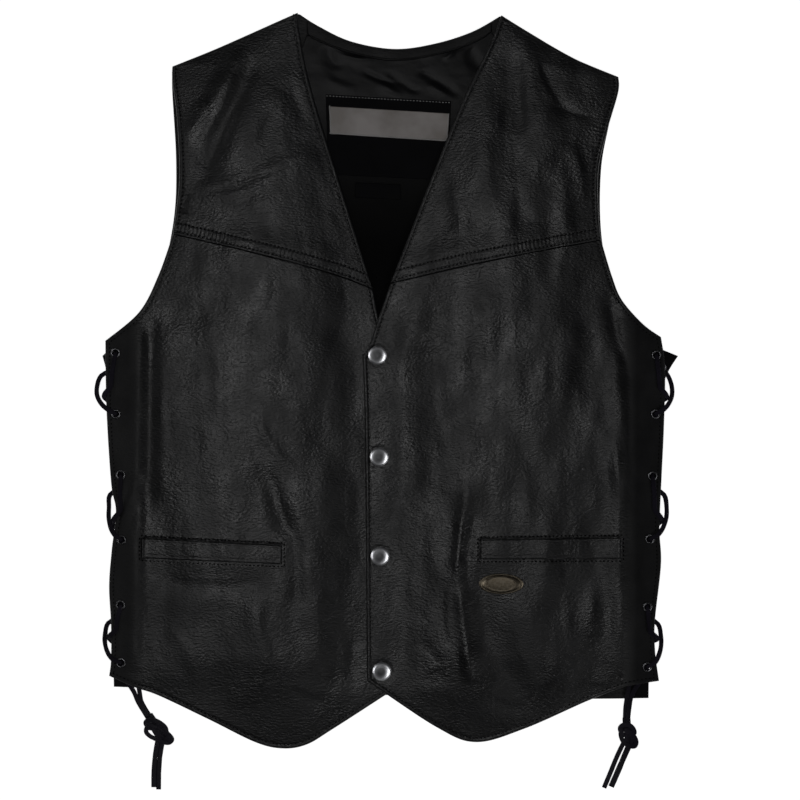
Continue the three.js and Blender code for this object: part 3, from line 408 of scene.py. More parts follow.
# The loops between two eyelets: share of the way down, how far out from the edge, height.
# Outer loops give the distance out as a share of their reach, inner ones in millimetres from a panel's edge.
OUTER_LOOP = [
    (0.2, 0.55, LACE_UNDER + 0.1), (0.42, 1, 3.2), (0.62, 0.97, 6.2), (0.8, 0.45, 9.6),
    (0.92, -0.25, LACE_OVER + 0.2),
]
INNER_LOOP = [
    (0.3, "front", -5.6, LACE_OVER), (0.48, "front", -4.4, LACE_OVER), (0.54, "front", -1.2, LACE_OVER),
    (0.59, "front", 1.3, 9.1), (0.63, "front", 2.0, 6.6),
    (0.67, "back", 3, 3.6), (0.71, "back", 1.2, 1.6), (0.77, "back", -3, LACE_UNDER),
]

# Free ends of the laces: points (x, y, z) along each, from under the hem into the knot and on to the tips
FREE_ENDS = {
    "right": {
        "end_a": [
            (-232.2, -259, 5.3), (-228.2, -270, 5.3), (-226.2, -280, 5.0), (-224.4, -290, 2.4),
            (-216.2, -304, 1.9),
        ],
        "end_b": [
            (-240.6, -263, 5.3), (-237.2, -271, 5.3), (-231.4, -280, 5.2),
            (-227.2, -290, 3.6), (-218.8, -304, 3.3),
        ],
        "tail_a": [(-209.6, -322, 1.8), (-212.2, -338, 1.1), (-213.4, -352, 1.1), (-213.6, -366.8, 1.1)],
        "tail_b": [(-205.2, -322, 1.8), (-207.8, -338, 1.1), (-209, -352, 1.1), (-209.2, -368.8, 1.1)],
    },
    "left": {
        "end_a": [
            (220.6, -260, 5.3), (216.4, -270, 5.3), (213.4, -283, 5.2), (212.0, -295, 2.4),
            (211.4, -309, 1.9),
        ],
        "end_b": [
            (228, -267.6, 5.3), (221.4, -276, 5.3), (216.8, -285, 5.4),
            (215.0, -296, 3.6), (213.8, -309, 3.3),
        ],
        "tail_a": [(211.4, -324, 1.8), (203.9, -340, 1.1), (198.6, -353, 1.1), (192.6, -367.4, 1.1)],
        "tail_b": [(216, -327, 1.9), (210.4, -340, 1.1), (204.9, -353, 1.1), (199, -366.4, 1.1)],
    },
}
TAIL_WIDTHS = {"right": {"tail_a": 4.5, "tail_b": 4.5}, "left": {"tail_a": 4.3, "tail_b": 5.3}}

# The tied knots: the passes of the doubled lace through each, as points (x, y, z)
KNOTS = {
    "right": [
        [
            (-219.6, -300.5, 2.2), (-215.8, -305.5, 2.8), (-211, -311, 3.2), (-207.8, -316, 2.8),
            (-206.8, -321, 2.2), (-207.4, -326, 1.9),
        ],
        [
            (-216.6, -300.5, 3.4), (-213, -305.5, 3.6), (-208.4, -310.6, 3.4), (-204.6, -316, 3.0),
            (-203.8, -321, 2.3), (-204.4, -326, 1.9),
        ],
        [
            (-213, -313.4, 2.2), (-218, -313, 2.0), (-220.8, -308.6, 2.8),
            (-218.4, -306, 4.6), (-212.5, -306, 6.2),
            (-206, -309.3, 6.3), (-202.2, -314, 5.2), (-203.2, -318.6, 3.4), (-208, -321, 2.4),
        ],
        [
            (-214, -309.5, 3.6), (-219.2, -312.4, 3.2), (-220.3, -316.8, 2.2),
            (-217.0, -320.6, 1.9), (-211, -323.4, 2.2),
            (-204.6, -326, 3.0), (-199.2, -326.2, 3.6), (-196.8, -323.4, 4.2), (-199.4, -319.4, 5.2),
            (-204.5, -315.6, 5.6), (-209.5, -312.2, 5.0),
        ],
        [
            (-218.6, -303.6, 3.4), (-216.6, -307.6, 3.8), (-215.0, -311.5, 4.0), (-213.0, -315.4, 4.0),
            (-210.8, -319.2, 3.6), (-208.4, -322.4, 2.8), (-207.6, -326, 2.0),
        ],
        [(-212.4, -307.5, 3.6), (-210.6, -313, 4.0), (-209.4, -317, 3.8), (-207.6, -321.5, 3.0)],
        [
            (-220.2, -308.6, 3.2), (-216.6, -310.6, 4.4), (-212.2, -312, 4.8), (-207.2, -314, 4.4),
            (-203.6, -318, 3.6),
        ],
        [
            (-211, -309, 5.2), (-205.4, -311.8, 5.8), (-201.6, -316.6, 5.6), (-200.4, -321.4, 5.0),
            (-201.4, -326, 3.6),
        ],
    ],
    "left": [
        [(211.2, -304, 2.2), (211.4, -309, 2.8), (212.4, -315, 3.0), (213.2, -320, 2.6), (211.8, -327, 2.0)],
        [(214.2, -304, 3.4), (214.6, -309, 3.6), (215.4, -315, 3.2), (216, -321, 2.6), (215.6, -328, 2.0)],
        [
            (214, -320, 1.8), (209.2, -318.8, 2.2), (206.9, -313.4, 3.4),
            (209.4, -310.4, 5.4), (214.4, -310.2, 6.0),
            (218.4, -313.2, 5.0), (219.8, -317.6, 3.8), (216.6, -320.6, 2.8),
        ],
        [
            (210.6, -313.6, 3.2), (207.8, -317, 2.6), (208.2, -321.8, 2.1),
            (210.6, -326.4, 2.4), (215.8, -329.4, 3.4),
            (220, -329.4, 4.2), (221.4, -325.8, 4.8), (219.4, -320.6, 5.4),
            (215, -316.6, 5.7), (210.6, -314.2, 5.2),
        ],
        [(214.4, -316.4, 3.6), (217.0, -320.4, 4.2), (218.2, -325, 4.0), (217.4, -329.4, 3.0)],
    ],
}

# Fineness of the meshes
ROW_CELL = 1.5
COLUMN_CELL = 1.95
YOKE_CELL = 1.5
SEAM_CELL = 1.0
BACK_CELL = 4.8
PATCH_CELL = 2.4
CHUNK = 3000


def smooth_step(value, low, high):
    t = np.clip((value - low) / (high - low), 0, 1)
    return t * t * (3 - 2 * t)


def smooth_through(knots, values, at):
    """Smooth curve through values at rising knots that never overshoots. The values may differ per point."""
    knots = np.asarray(knots, float)
    values = np.asarray(values, float)
    at = np.atleast_1d(np.asarray(at, float))
    if values.ndim == 1:
        values = np.repeat(values[:, None], at.size, axis=1)
    secants = np.diff(values, axis=0) / np.diff(knots)[:, None]
    product = secants[:-1] * secants[1:]
    total = secants[:-1] + secants[1:]
    inner = np.where(product > 0, 2 * product / np.where(total == 0, 1, total), 0)
    tangents = np.vstack([secants[:1], inner, secants[-1:]])
    k = np.clip(np.searchsorted(knots, at, side="right") - 1, 0, len(knots) - 2)
    span = knots[k + 1] - knots[k]
    s = np.clip((at - knots[k]) / span, 0, 1)
    each = np.arange(at.size)
    start, end = values[k, each], values[k + 1, each]
    start_slope, end_slope = tangents[k, each] * span, tangents[k + 1, each] * span
    rise = end - start
    bend = 3 * rise - 2 * start_slope - end_slope
    return start + s * (start_slope + s * (bend + s * (start_slope + end_slope - 2 * rise)))


def spline(points, shares):
    """Points along the spline through a list of points, at shares of its length."""
    points = np.asarray(points, float)
    last = len(points) - 1
    t = np.linspace(0, last, 60 * last + 1)
    k = np.minimum(t.astype(int), last - 1)
    w = (t - k)[:, None]
    before, after = points[np.maximum(k - 1, 0)], points[np.minimum(k + 2, last)]
    a, b = points[k], points[k + 1]
    v0, v1 = (b - before) / 2, (after - a) / 2
    curve = (2 * a - 2 * b + v0 + v1) * w**3 + (-3 * a + 3 * b - 2 * v0 - v1) * w**2 + v0 * w + a
    run = np.concatenate([[0], np.cumsum(np.linalg.norm(np.diff(curve, axis=0), axis=1))])
    at = np.asarray(shares) * run[-1]
    return np.stack([np.interp(at, run, curve[:, i]) for i in range(points.shape[1])], axis=1)


def length_of(line):
    return float(np.linalg.norm(np.diff(np.asarray(line, float), axis=0), axis=1).sum())


def fine_line(*edges, step=2.0):
    """One polyline along several splines that follow each other."""
    parts = []
    for edge in edges:
        count = max(4, int(length_of(edge) / step))
        part = spline(edge, np.linspace(0, 1, count + 1))
        parts.append(part if not parts else part[1:])
    return np.vstack(parts)


def moved(points, dx, dy):
    return [(x + dx, y + dy) for x, y in points]


def edge_x(points, y):
    """x of an edge at heights y, from its points in falling y."""
    rising = np.asarray(points, float)[::-1]
    return smooth_through(rising[:, 1], rising[:, 0], np.clip(y, rising[0, 1], rising[-1, 1]))


def profile_of(front):
    """A front's outer and inner edges as one falling list each, down to the lowest point of the hem."""
    hem = front["hem"]
    tip = min(range(len(hem)), key=lambda i: hem[i][1])
    outer = front["shoulder"] + front["armhole_upper"][1:] + front["armhole_lower"][1:]
    outer = outer + front["side"][1:] + hem[1:tip + 1]
    inner = front["neck_upper"] + front["neck_lower"][1:] + front["front_edge"][1:] + hem[tip:-1][::-1]
    return outer, inner


def fold_rise(fold, x, y):
    """Soft bump of a fold: full along its line, fading over its half-width and at its ends."""
    x0, y0, x1, y1, width, rise = fold
    length = math.hypot(x1 - x0, y1 - y0)
    ux, uy = (x1 - x0) / length, (y1 - y0) / length
    along = (x - x0) * ux + (y - y0) * uy
    beyond = np.maximum(0, np.maximum(-along, along - length))
    away = (x - x0) * uy - (y - y0) * ux
    return rise * np.exp(-((away / width) ** 2)) * np.exp(-((beyond / (1.6 * width)) ** 2))


def crease_rise(crease, x, y):
    """A bent crease that swells from nothing at its ends, with one side steeper than the other."""
    x0, y0, x1, y1, width, rise, bend = crease
    length = math.hypot(x1 - x0, y1 - y0)
    ux, uy = (x1 - x0) / length, (y1 - y0) / length
    share = np.clip(((x - x0) * ux + (y - y0) * uy) / length, 0, 1)
    beyond = ((x - x0) * ux + (y - y0) * uy) / length - share
    away = (x - x0) * uy - (y - y0) * ux - bend * 4 * share * (1 - share)
    side = width * (1 + 0.35 * np.tanh(away / width))
    swell = (4 * share * (1 - share)) ** 0.6
    return rise * swell * np.exp(-((away / side) ** 2)) * np.exp(-((beyond * length / width) ** 2))


def field(x, y, size, seed, octaves=2):
    """Smooth noise of about -1 to 1 over the plan, with features of the given size."""
    size_x, size_y = size if isinstance(size, tuple) else (size, size)
    flat = zip((np.ravel(x) / size_x).tolist(), (np.ravel(y) / size_y).tolist())
    values = [noise.fractal(Vector((a, b, seed)), 0.9, 2.0, octaves) for a, b in flat]
    return np.array(values).reshape(np.shape(x))


def nearest(x, y, line):
    """Distance of each point to a line, and how far along the line its nearest place lies."""
    line = np.asarray(line, float)
    kept = np.linalg.norm(np.diff(line, axis=0), axis=1) > 1e-6
    start, step = line[:-1][kept], np.diff(line, axis=0)[kept]
    length = np.linalg.norm(step, axis=1)
    run = np.concatenate([[0], np.cumsum(length)])
    flat = np.stack([np.ravel(x), np.ravel(y)], axis=1)
    distance, along = np.empty(len(flat)), np.empty(len(flat))
    for low in range(0, len(flat), CHUNK):
        offset = flat[low:low + CHUNK, None] - start
        share = np.clip((offset * step).sum(2) / length**2, 0, 1)
        away = np.linalg.norm(offset - share[..., None] * step, axis=2)
        best = away.argmin(1)
        each = np.arange(len(best))
        distance[low:low + CHUNK] = away[each, best]
        along[low:low + CHUNK] = run[best] + share[each, best] * length[best]
    return distance.reshape(np.shape(x)), along.reshape(np.shape(x))


def shares_along(length, count, head=EDGE_LINES, tail=EDGE_LINES):
    """Shares of an edge's length at even steps, with extra ones close to its ends."""
    first = np.array(head) / length
    final = 1 - np.array(tail)[::-1] / length
    low = first[-1] if len(first) else 0
    high = final[0] if len(final) else 1
    middle = np.linspace(low, high, count + 1)
    return np.concatenate([[0], first, middle[1:-1], final, [1]])


def along(line, shares):
    """Points at shares of a polyline's length, for shares in any arrangement."""
    run = np.concatenate([[0], np.cumsum(np.linalg.norm(np.diff(line, axis=0), axis=1))])
    at = np.asarray(shares) * run[-1]
    return np.stack([np.interp(at, run, line[:, i]) for i in range(2)], axis=-1)


def panel_grid(left, right, top, bottom, left_shares, right_shares, columns):
    """Plan points between four edges, with lines at set distances from the left and right ones."""
    widths = np.linalg.norm(along(right, right_shares) - along(left, left_shares), axis=1)
    u = np.array([shares_along(width, columns) for width in widths])
    v = left_shares[:, None] * (1 - u) + right_shares[:, None] * u
    u3, v3 = u[..., None], v[..., None]
    sides = (1 - u3) * along(left, v) + u3 * along(right, v)
    ends = (1 - v3) * along(top, u) + v3 * along(bottom, u)
    first, last = (1 - u3) * top[0] + u3 * top[-1], (1 - u3) * bottom[0] + u3 * bottom[-1]
    return sides + ends - (1 - v3) * first - v3 * last


def corner_grid(corners, across, down):
    """Plan points between four corners, at shares of the way across and down."""
    a, b, c, d = corners
    u, v = across[None, :, None], down[:, None, None]
    return (1 - u) * (1 - v) * a + u * (1 - v) * b + u * v * c + (1 - u) * v * d


def rim_distances(rows, columns, head, tail):
    """How far each point of a grid lies from its rim, as far as the lines along the edges reach."""
    def line(count, first, last):
        distance = np.full(count, float(RIM))
        distance[:len(first) + 1] = np.minimum([0, *first], RIM)
        distance[count - len(last) - 1:] = np.minimum([*last[::-1], 0], RIM)
        return distance
    return np.minimum(line(rows, head, tail)[:, None], line(columns, EDGE_LINES, EDGE_LINES)[None])


def grid_faces(rows, columns, top_index, flip):
    quads = []
    for i in range(rows - 1):
        for j in range(columns - 1):
            quad = [top_index[i][j], top_index[i][j + 1], top_index[i + 1][j + 1], top_index[i + 1][j]]
            quads.append(quad[::-1] if flip else quad)
    return quads


def add_mesh(name, vertices, faces, material, replaced=()):
    """A smooth-shaded piece in a finish of its own, with the nodes of the CAD that it stands for."""
    mesh = bpy.data.meshes.new(name)
    mesh.from_pydata((np.asarray(vertices, float) * METRE).tolist(), [], faces)
    mesh.update()
    mesh.polygons.foreach_set("use_smooth", [True] * len(mesh.polygons))
    piece = bpy.data.objects.new(name, mesh)
    bpy.context.scene.collection.objects.link(piece)
    mesh.materials.append(MATERIALS[material])
    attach(piece, "root")
    if replaced:
        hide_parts(*replaced)
    return piece


def shell(name, grid, top, bottom, material, replaced=()):
    """Closed shell over a plan grid whose rim points belong to both faces."""
    rows, columns = grid.shape[:2]
    count = rows * columns
    top_index = np.arange(count).reshape(rows, columns)
    bottom_index = top_index.copy()
    bottom_index[1:-1, 1:-1] = count + np.arange((rows - 2) * (columns - 2)).reshape(rows - 2, columns - 2)
    upper = np.dstack([grid, top]).reshape(-1, 3)
    lower = np.dstack([grid, bottom])[1:-1, 1:-1].reshape(-1, 3)
    flip = grid[0, 0, 0] < grid[0, -1, 0]
    faces = grid_faces(rows, columns, top_index.tolist(), flip)
    faces += grid_faces(rows, columns, bottom_index.tolist(), not flip)
    return add_mesh(name, np.vstack([upper, lower]), faces, material, replaced)


def rounded(base, thickness, rim_distance):
    """Upper and lower heights of a wall over an underside, rounded off at its rim."""
    share = np.clip(rim_distance / RIM, 0, 1)
    half = thickness / 2 * np.sqrt(1 - (1 - share) ** 2)
    return base + thickness / 2 + half, base + thickness / 2 - half


def pits(run):
    """One at the middle of each stitch along a row and zero halfway between two."""
    return (0.5 - 0.5 * np.cos(2 * math.pi * run / STITCH_PITCH)) ** 1.4


def stitch_groove(distance, run, at):
    """The groove of a row of stitches, deepest at each stitch."""
    depth = GROOVE["depth"] + GROOVE["pit"] * pits(run)
    return -depth * np.exp(-(((distance - at) / GROOVE["width"]) ** 2))


def puckers(distance, run, seed, reach, amount):
    """Short ribs that run inwards from a row of stitches, one between each two, uneven along it."""
    strength = np.clip(0.55 + 0.9 * field(run, run * 0, 17, seed + 3), 0.1, 1.5)
    beyond = distance - STITCH_IN
    fade = np.where(beyond > 0, np.exp(-((beyond / reach) ** 2)), np.exp(-((beyond / 2.5) ** 2)))
    ribs = (0.5 - pits(run)) + 0.7 * field(run, distance * 0.1, (6.5, 1), seed + 5, 2)
    return amount * strength * ribs * fade


def turned_edge(distance, run, seed, reach, amount):
    """What a turned and topstitched edge adds to the face: a rolled lip, the stitches' groove and puckers."""
    share = np.clip(distance / STITCH_IN, 0, 1)
    uneven = 1 + 0.3 * field(run, run * 0, 13, seed)
    lip = TURN_PUFF * np.sin(math.pi * share) ** 0.8 * uneven
    return lip + stitch_groove(distance, run, STITCH_IN) + puckers(distance, run, seed, reach, amount)


# Materials

class Finish:
    """A material under work: its nodes are added one by one and linked into its shader."""

    def __init__(self, name):
        self.material = bpy.data.materials.new(name)
        self.material.use_nodes = True
        self.nodes = self.material.node_tree.nodes
        self.links = self.material.node_tree.links
        self.shader = self.nodes["Principled BSDF"]

    def feed(self, name, value):
        """Sets an input of the shader, or links a socket into it."""
        if isinstance(value, bpy.types.NodeSocket):
            self.links.new(value, self.shader.inputs[name])
        else:
            self.shader.inputs[name].default_value = value

    def mapped(self, scale=MILLIMETRES, shift=(0, 0, 0)):
        """The object's own coordinates, stretched and then shifted."""
        coordinates = self.nodes.new("ShaderNodeTexCoord")
        mapping = self.nodes.new("ShaderNodeMapping")
        mapping.inputs["Scale"].default_value = scale
        mapping.inputs["Location"].default_value = shift
        self.links.new(coordinates.outputs["Object"], mapping.inputs["Vector"])
        return mapping.outputs["Vector"]

    def texture(self, kind, coordinates, output="Fac", **settings):
        node = self.nodes.new(kind)
        for key, value in settings.items():
            if key in node.inputs:
                node.inputs[key].default_value = value
            else:
                setattr(node, key, value)
        self.links.new(coordinates, node.inputs["Vector"])
        return node.outputs[output]

    def ramp(self, source, low, high, first, second):
        """Maps values between low and high onto two colours or numbers."""
        node = self.nodes.new("ShaderNodeValToRGB")
        node.color_ramp.elements[0].position = low
        node.color_ramp.elements[1].position = high
        for element, value in zip(node.color_ramp.elements, (first, second)):
            rgb = value if isinstance(value, tuple) else (value, value, value)
            element.color = (*rgb, 1)
        self.links.new(source, node.inputs["Fac"])
        return node.outputs["Color"]

    def ranged(self, source, settings, interpolation="LINEAR"):
        """Maps a range of values onto another, with its ends as the node names them."""
        node = self.nodes.new("ShaderNodeMapRange")
        node.interpolation_type = interpolation
        for key, value in settings.items():
            node.inputs[key].default_value = value
        self.links.new(source, node.inputs["Value"])
        return node.outputs["Result"]

    def added(self, first, second):
        node = self.nodes.new("ShaderNodeMath")
        node.operation = "ADD"
        self.links.new(first, node.inputs[0])
        self.links.new(second, node.inputs[1])
        return node.outputs[0]

    def vector(self, operation, first, second):
        """Works on two vectors, the second of them a socket or fixed numbers."""
        node = self.nodes.new("ShaderNodeVectorMath")
        node.operation = operation
        self.links.new(first, node.inputs[0])
        if isinstance(second, tuple):
            node.inputs[1].default_value = second
        else:
            self.links.new(second, node.inputs[1])
        return node.outputs[0]

    def split(self, vector, axis):
        node = self.nodes.new("ShaderNodeSeparateXYZ")
        self.links.new(vector, node.inputs[0])
        return node.outputs[axis]

    def bump(self, height, strength, distance, under=None):
        node = self.nodes.new("ShaderNodeBump")
        node.inputs["Strength"].default_value = strength
        node.inputs["Distance"].default_value = distance * METRE
        self.links.new(height, node.inputs["Height"])
        if under is not None:
            self.links.new(under, node.inputs["Normal"])
        return node.outputs["Normal"]


def margin_roughness(finish, place, sheen):
    """Adds the duller leather of the side margins and the worn patches to a roughness."""
    total = sheen
    across_panel = finish.split(place, "X")
    for start, end, dull in MARGINS:
        share = finish.ranged(across_panel, {"From Min": start, "From Max": end, "To Max": dull})
        total = finish.added(total, share)
    for x, y, half_width, half_length, change in SHEEN:
        scale = (1000 / half_width, 1000 / half_length, 0)
        spot = finish.mapped(scale, (-x / half_width, -y / half_length, 0))
        disc = finish.texture("ShaderNodeTexGradient", spot, gradient_type="SPHERICAL")
        total = finish.added(total, finish.ranged(disc, {"To Max": change}, "SMOOTHSTEP"))
    return total


def leather_material(name, dark, light, rough, grain, shine):
    finish = Finish(name)
    place = finish.mapped()
    patches = finish.texture("ShaderNodeTexNoise", place, Scale=0.035, Detail=5.0, Roughness=0.6)
    finish.feed("Base Color", finish.ramp(patches, 0.35, 0.68, dark, light))
    streaked = finish.mapped((1000, 640, 1000))
    sheen = finish.texture("ShaderNodeTexNoise", streaked, Scale=0.045, Detail=3.0, Roughness=0.5)
    polish = finish.ramp(sheen, 0.32, 0.68, *rough)
    finish.feed("Roughness", margin_roughness(finish, place, polish))
    finish.feed("Specular IOR Level", shine)
    warp = finish.texture("ShaderNodeTexNoise", place, "Color", Scale=0.9, Detail=2.0)
    squeezed = finish.vector("MULTIPLY", finish.vector("ADD", place, warp), (0.62, 1, 1))
    pebbles = finish.texture("ShaderNodeTexVoronoi", squeezed, "Distance", Scale=0.7, feature="SMOOTH_F1")
    stretched = finish.mapped((750, 1350, 1000))
    wrinkles = finish.texture("ShaderNodeTexNoise", stretched, Scale=0.46, Detail=2.0, Roughness=0.5)
    soft = finish.bump(wrinkles, 1.0, 0.36)
    finish.feed("Normal", finish.bump(pebbles, grain, -0.34, soft))
    return finish.material


def satin_material(name):
    """Satin whose colour is painted darker down the back, away from the neck, as painted shade from the
    fronts; it is also rougher there.
    """
    finish = Finish(name)
    place = finish.mapped()
    threads = finish.mapped((900, 2600, 900))
    height = finish.ranged(finish.split(place, "Y"), {"From Min": 120, "From Max": 250})
    # Painted shade: the colour darkens from the neck down the back, standing in for the shade of the fronts
    finish.feed("Base Color", finish.ramp(height, 0, 1, (0.0003, 0.0003, 0.0004), (0.003, 0.003, 0.0036)))
    finish.feed("Roughness", finish.ramp(height, 0, 1, 0.8, 0.36))
    finish.feed("Specular IOR Level", 0.12)
    weave = finish.texture("ShaderNodeTexNoise", threads, Scale=1.4, Detail=2.0)
    creases = finish.texture("ShaderNodeTexNoise", place, Scale=0.12, Detail=6.0)
    finish.feed("Normal", finish.bump(weave, 0.25, 0.08, finish.bump(creases, 0.4, 0.5)))
    return finish.material


def woven_material(name, dark, light, rough, shine):
    """Woven label cloth with fine ribs across."""
    finish = Finish(name)
    place = finish.mapped()
    patches = finish.texture("ShaderNodeTexNoise", place, Scale=0.03, Detail=3.0)
    finish.feed("Base Color", finish.ramp(patches, 0.38, 0.62, dark, light))
    finish.feed("Roughness", rough)
    finish.feed("Specular IOR Level", shine)
    ribs = finish.texture("ShaderNodeTexWave", place, Scale=0.55, bands_direction="Y")
    finish.feed("Normal", finish.bump(ribs, 0.3, 0.12))
    return finish.material


def metal_material(name, dark, light, rough, wear=0.25, level=None):
    """Worn metal. Given a shade factor, the faces that lie level are painted darker than the rims, as painted
    shade.
    """
    finish = Finish(name)
    place = finish.mapped()
    patches = finish.texture("ShaderNodeTexNoise", place, Scale=wear, Detail=6.0, Roughness=0.7)
    colour = finish.ramp(patches, 0.35, 0.7, dark, light)
    if level:
        # Painted shade: the colour is multiplied down on faces that point straight up, so the tops look dark
        # between the lit rims
        facing = finish.nodes.new("ShaderNodeNewGeometry").outputs["Normal"]
        painted_top_shade = finish.ramp(finish.split(facing, "Z"), 0.94, 0.995, 1.0, level)
        blend = finish.nodes.new("ShaderNodeMix")
        blend.data_type = "RGBA"
        blend.blend_type = "MULTIPLY"
        blend.inputs["Factor"].default_value = 1
        finish.links.new(colour, blend.inputs["A"])
        finish.links.new(painted_top_shade, blend.inputs["B"])
        colour = blend.outputs["Result"]
    finish.feed("Base Color", colour)
    finish.feed("Roughness", finish.ramp(patches, 0.3, 0.7, *rough))
    finish.feed("Metallic", 1)
    scratches = finish.texture("ShaderNodeTexNoise", place, Scale=1.6, Detail=5.0)
    finish.feed("Normal", finish.bump(scratches, 0.06, 0.05))
    return finish.material


def thread_material(name, low, high):
    finish = Finish(name)
    twist = finish.texture("ShaderNodeTexNoise", finish.mapped(), Scale=2.6, Detail=2.0)
    finish.feed("Base Color", finish.ramp(twist, 0.4, 0.6, low, high))
    finish.feed("Roughness", 0.8)
    finish.feed("Specular IOR Level", 0.1)
    finish.feed("Normal", finish.bump(twist, 0.4, 0.06))
    return finish.material


# Each with the dark and light colours of its patches and the range of its roughness
MATERIALS = {
    "leather": leather_material(
        "leather_grain", (0.002, 0.002, 0.0023), (0.005, 0.0049, 0.0058), (0.32, 0.46), grain=0.5, shine=0.45,
    ),
    "inside": leather_material(
        "leather_inside", (0.002, 0.002, 0.0024), (0.004, 0.004, 0.0048), (0.5, 0.62), grain=0.6, shine=0.3,
    ),
    "thong": leather_material(
        "leather_thong", (0.008, 0.0068, 0.0115), (0.015, 0.013, 0.021), (0.48, 0.6), grain=0.3, shine=0.2,
    ),
    "satin": satin_material("satin_lining"),
    "label": woven_material("label_cloth", (0.001, 0.001, 0.0018), (0.0022, 0.0022, 0.0032), 0.65, 0.1),
    "band": woven_material("label_band_cloth", (0.24, 0.217, 0.2), (0.37, 0.34, 0.33), 0.42, 0.5),
    # The snaps' gunmetal gets painted shade on its level tops through its shade factor
    "gunmetal": metal_material(
        "gunmetal", (0.48, 0.485, 0.505), (0.56, 0.565, 0.585), (0.36, 0.42), level=0.08,
    ),
    "eyelet": metal_material("dark_metal", (0.08, 0.08, 0.085), (0.2, 0.2, 0.21), (0.22, 0.36)),
    "brass": metal_material("antique_brass", (0.04, 0.032, 0.022), (0.1, 0.087, 0.067), (0.32, 0.48), 0.5),
    "thread": thread_material("black_thread", 0.0004, 0.0012),
    "pale_thread": thread_material("pale_thread", 0.4, 0.55),
}


# Camera, light and floor

VIEW = {"centre": (8.55, -17.55), "width": 720, "lens": 150, "sensor": 36, "level": 8, "far": 20}
FLOOR = {"reach": 4.0, "colour": (0.95, 0.95, 0.95, 1), "roughness": 0.9, "glow": 0.85}
SKY = {"colour": (0.97, 0.98, 1, 1), "strength": 0.038}
# Each light: name, place and size in metres, watts
LIGHTS = [
    ("key", (-0.3, 0.1, 3.3), (0.7, 0.7), 12),
    ("side", (1.5, -1.5, 1.6), (1.2, 0.9), 8),
    ("fill", (-2.0, 0.9, 1.3), (0.7, 0.7), 3),
]
# Lights that only the snaps and the badge catch
METAL_LIGHTS = [
    ("right_softbox", (2.0, -0.6, 1.9), (1.5, 2.1), 54),
    ("left_strip", (-2.2, 0.1, 0.8), (1.4, 1.0), 24),
]


def add_camera():
    data = bpy.data.cameras.new("camera")
    data.lens = VIEW["lens"]
    data.sensor_width = VIEW["sensor"]
    data.clip_end = VIEW["far"]
    camera = bpy.data.objects.new("camera", data)
    x, y = VIEW["centre"]
    height = VIEW["level"] + VIEW["width"] * VIEW["lens"] / VIEW["sensor"]
    camera.location = (x * METRE, y * METRE, height * METRE)
    bpy.context.scene.collection.objects.link(camera)
    bpy.context.scene.camera = camera


def add_light(name, place, size, watts, only=None):
    """Soft area light turned towards the vest. It lights everything, or one collection alone."""
    data = bpy.data.lights.new(name, "AREA")
    data.shape = "RECTANGLE"
    data.size, data.size_y = size
    data.energy = watts
    light = bpy.data.objects.new(name, data)
    light.location = place
    light.rotation_euler = (-Vector(place)).to_track_quat("-Z", "Y").to_euler()
    if only is not None:
        light.light_linking.receiver_collection = only
    bpy.context.scene.collection.objects.link(light)


def add_floor():
    finish = Finish("pale_floor")
    finish.feed("Base Color", FLOOR["colour"])
    finish.feed("Roughness", FLOOR["roughness"])
    finish.feed("Emission Color", (1, 1, 1, 1))
    finish.feed("Emission Strength", FLOOR["glow"])
    mesh = bpy.data.meshes.new("floor")
    reach = FLOOR["reach"]
    corners = [(-reach, -reach, 0), (reach, -reach, 0), (reach, reach, 0), (-reach, reach, 0)]
    mesh.from_pydata(corners, [], [(0, 1, 2, 3)])
    mesh.materials.append(finish.material)
    floor = bpy.data.objects.new("floor", mesh)
    bpy.context.scene.collection.objects.link(floor)


def add_stage():
    add_floor()
    world = bpy.data.worlds.new("studio")
    world.use_nodes = True
    background = world.node_tree.nodes["Background"]
    background.inputs["Color"].default_value = SKY["colour"]
    background.inputs["Strength"].default_value = SKY["strength"]
    bpy.context.scene.world = world
    bpy.context.scene.view_settings.view_transform = "Standard"
    for light in LIGHTS:
        add_light(*light)
    metal = bpy.data.collections.new("metal_pieces")
    finishes = [MATERIALS[key] for key in ("gunmetal", "brass")]
    for piece in bpy.context.scene.objects:
        if piece.type == "MESH" and piece.active_material in finishes:
            metal.objects.link(piece)
    for light in METAL_LIGHTS:
        add_light(*light, metal)


# Laces

LACE_SECTION = [
    (1, 0), (0.97, 0.55), (0.86, 0.92), (0.45, 1.02), (0, 1), (-0.45, 1.02), (-0.86, 0.92), (-0.97, 0.55),
    (-1, 0), (-0.97, -0.55), (-0.86, -0.92), (-0.45, -1.02), (0, -1), (0.45, -1.02), (0.86, -0.92),
    (0.97, -0.55),
]


def centripetal(points, t):
    """Points of the centripetal spline through points, at t from 0 to the number of its spans."""
    points = np.asarray(points, float)
    padded = np.vstack([2 * points[0] - points[1], points, 2 * points[-1] - points[-2]])
    last = len(points) - 1
    k = np.clip(t.astype(int), 0, last - 1)
    p0, p1, p2, p3 = (padded[k + i] for i in range(4))
    d0, d1, d2 = (np.sqrt(np.linalg.norm(b - a, axis=1))[:, None] for a, b in ((p0, p1), (p1, p2), (p2, p3)))
    d1 = np.maximum(d1, 1e-4)
    d0 = np.where(d0 < 1e-4, d1, d0)
    d2 = np.where(d2 < 1e-4, d1, d2)
    start = ((p1 - p0) / d0 - (p2 - p0) / (d0 + d1) + (p2 - p1) / d1) * d1
    end = ((p2 - p1) / d1 - (p3 - p1) / (d1 + d2) + (p3 - p2) / d2) * d1
    w = (t - k)[:, None]
    cubic, square = 2 * p1 - 2 * p2 + start + end, -3 * p1 + 3 * p2 - 2 * start - end
    return cubic * w**3 + square * w**2 + start * w + p1


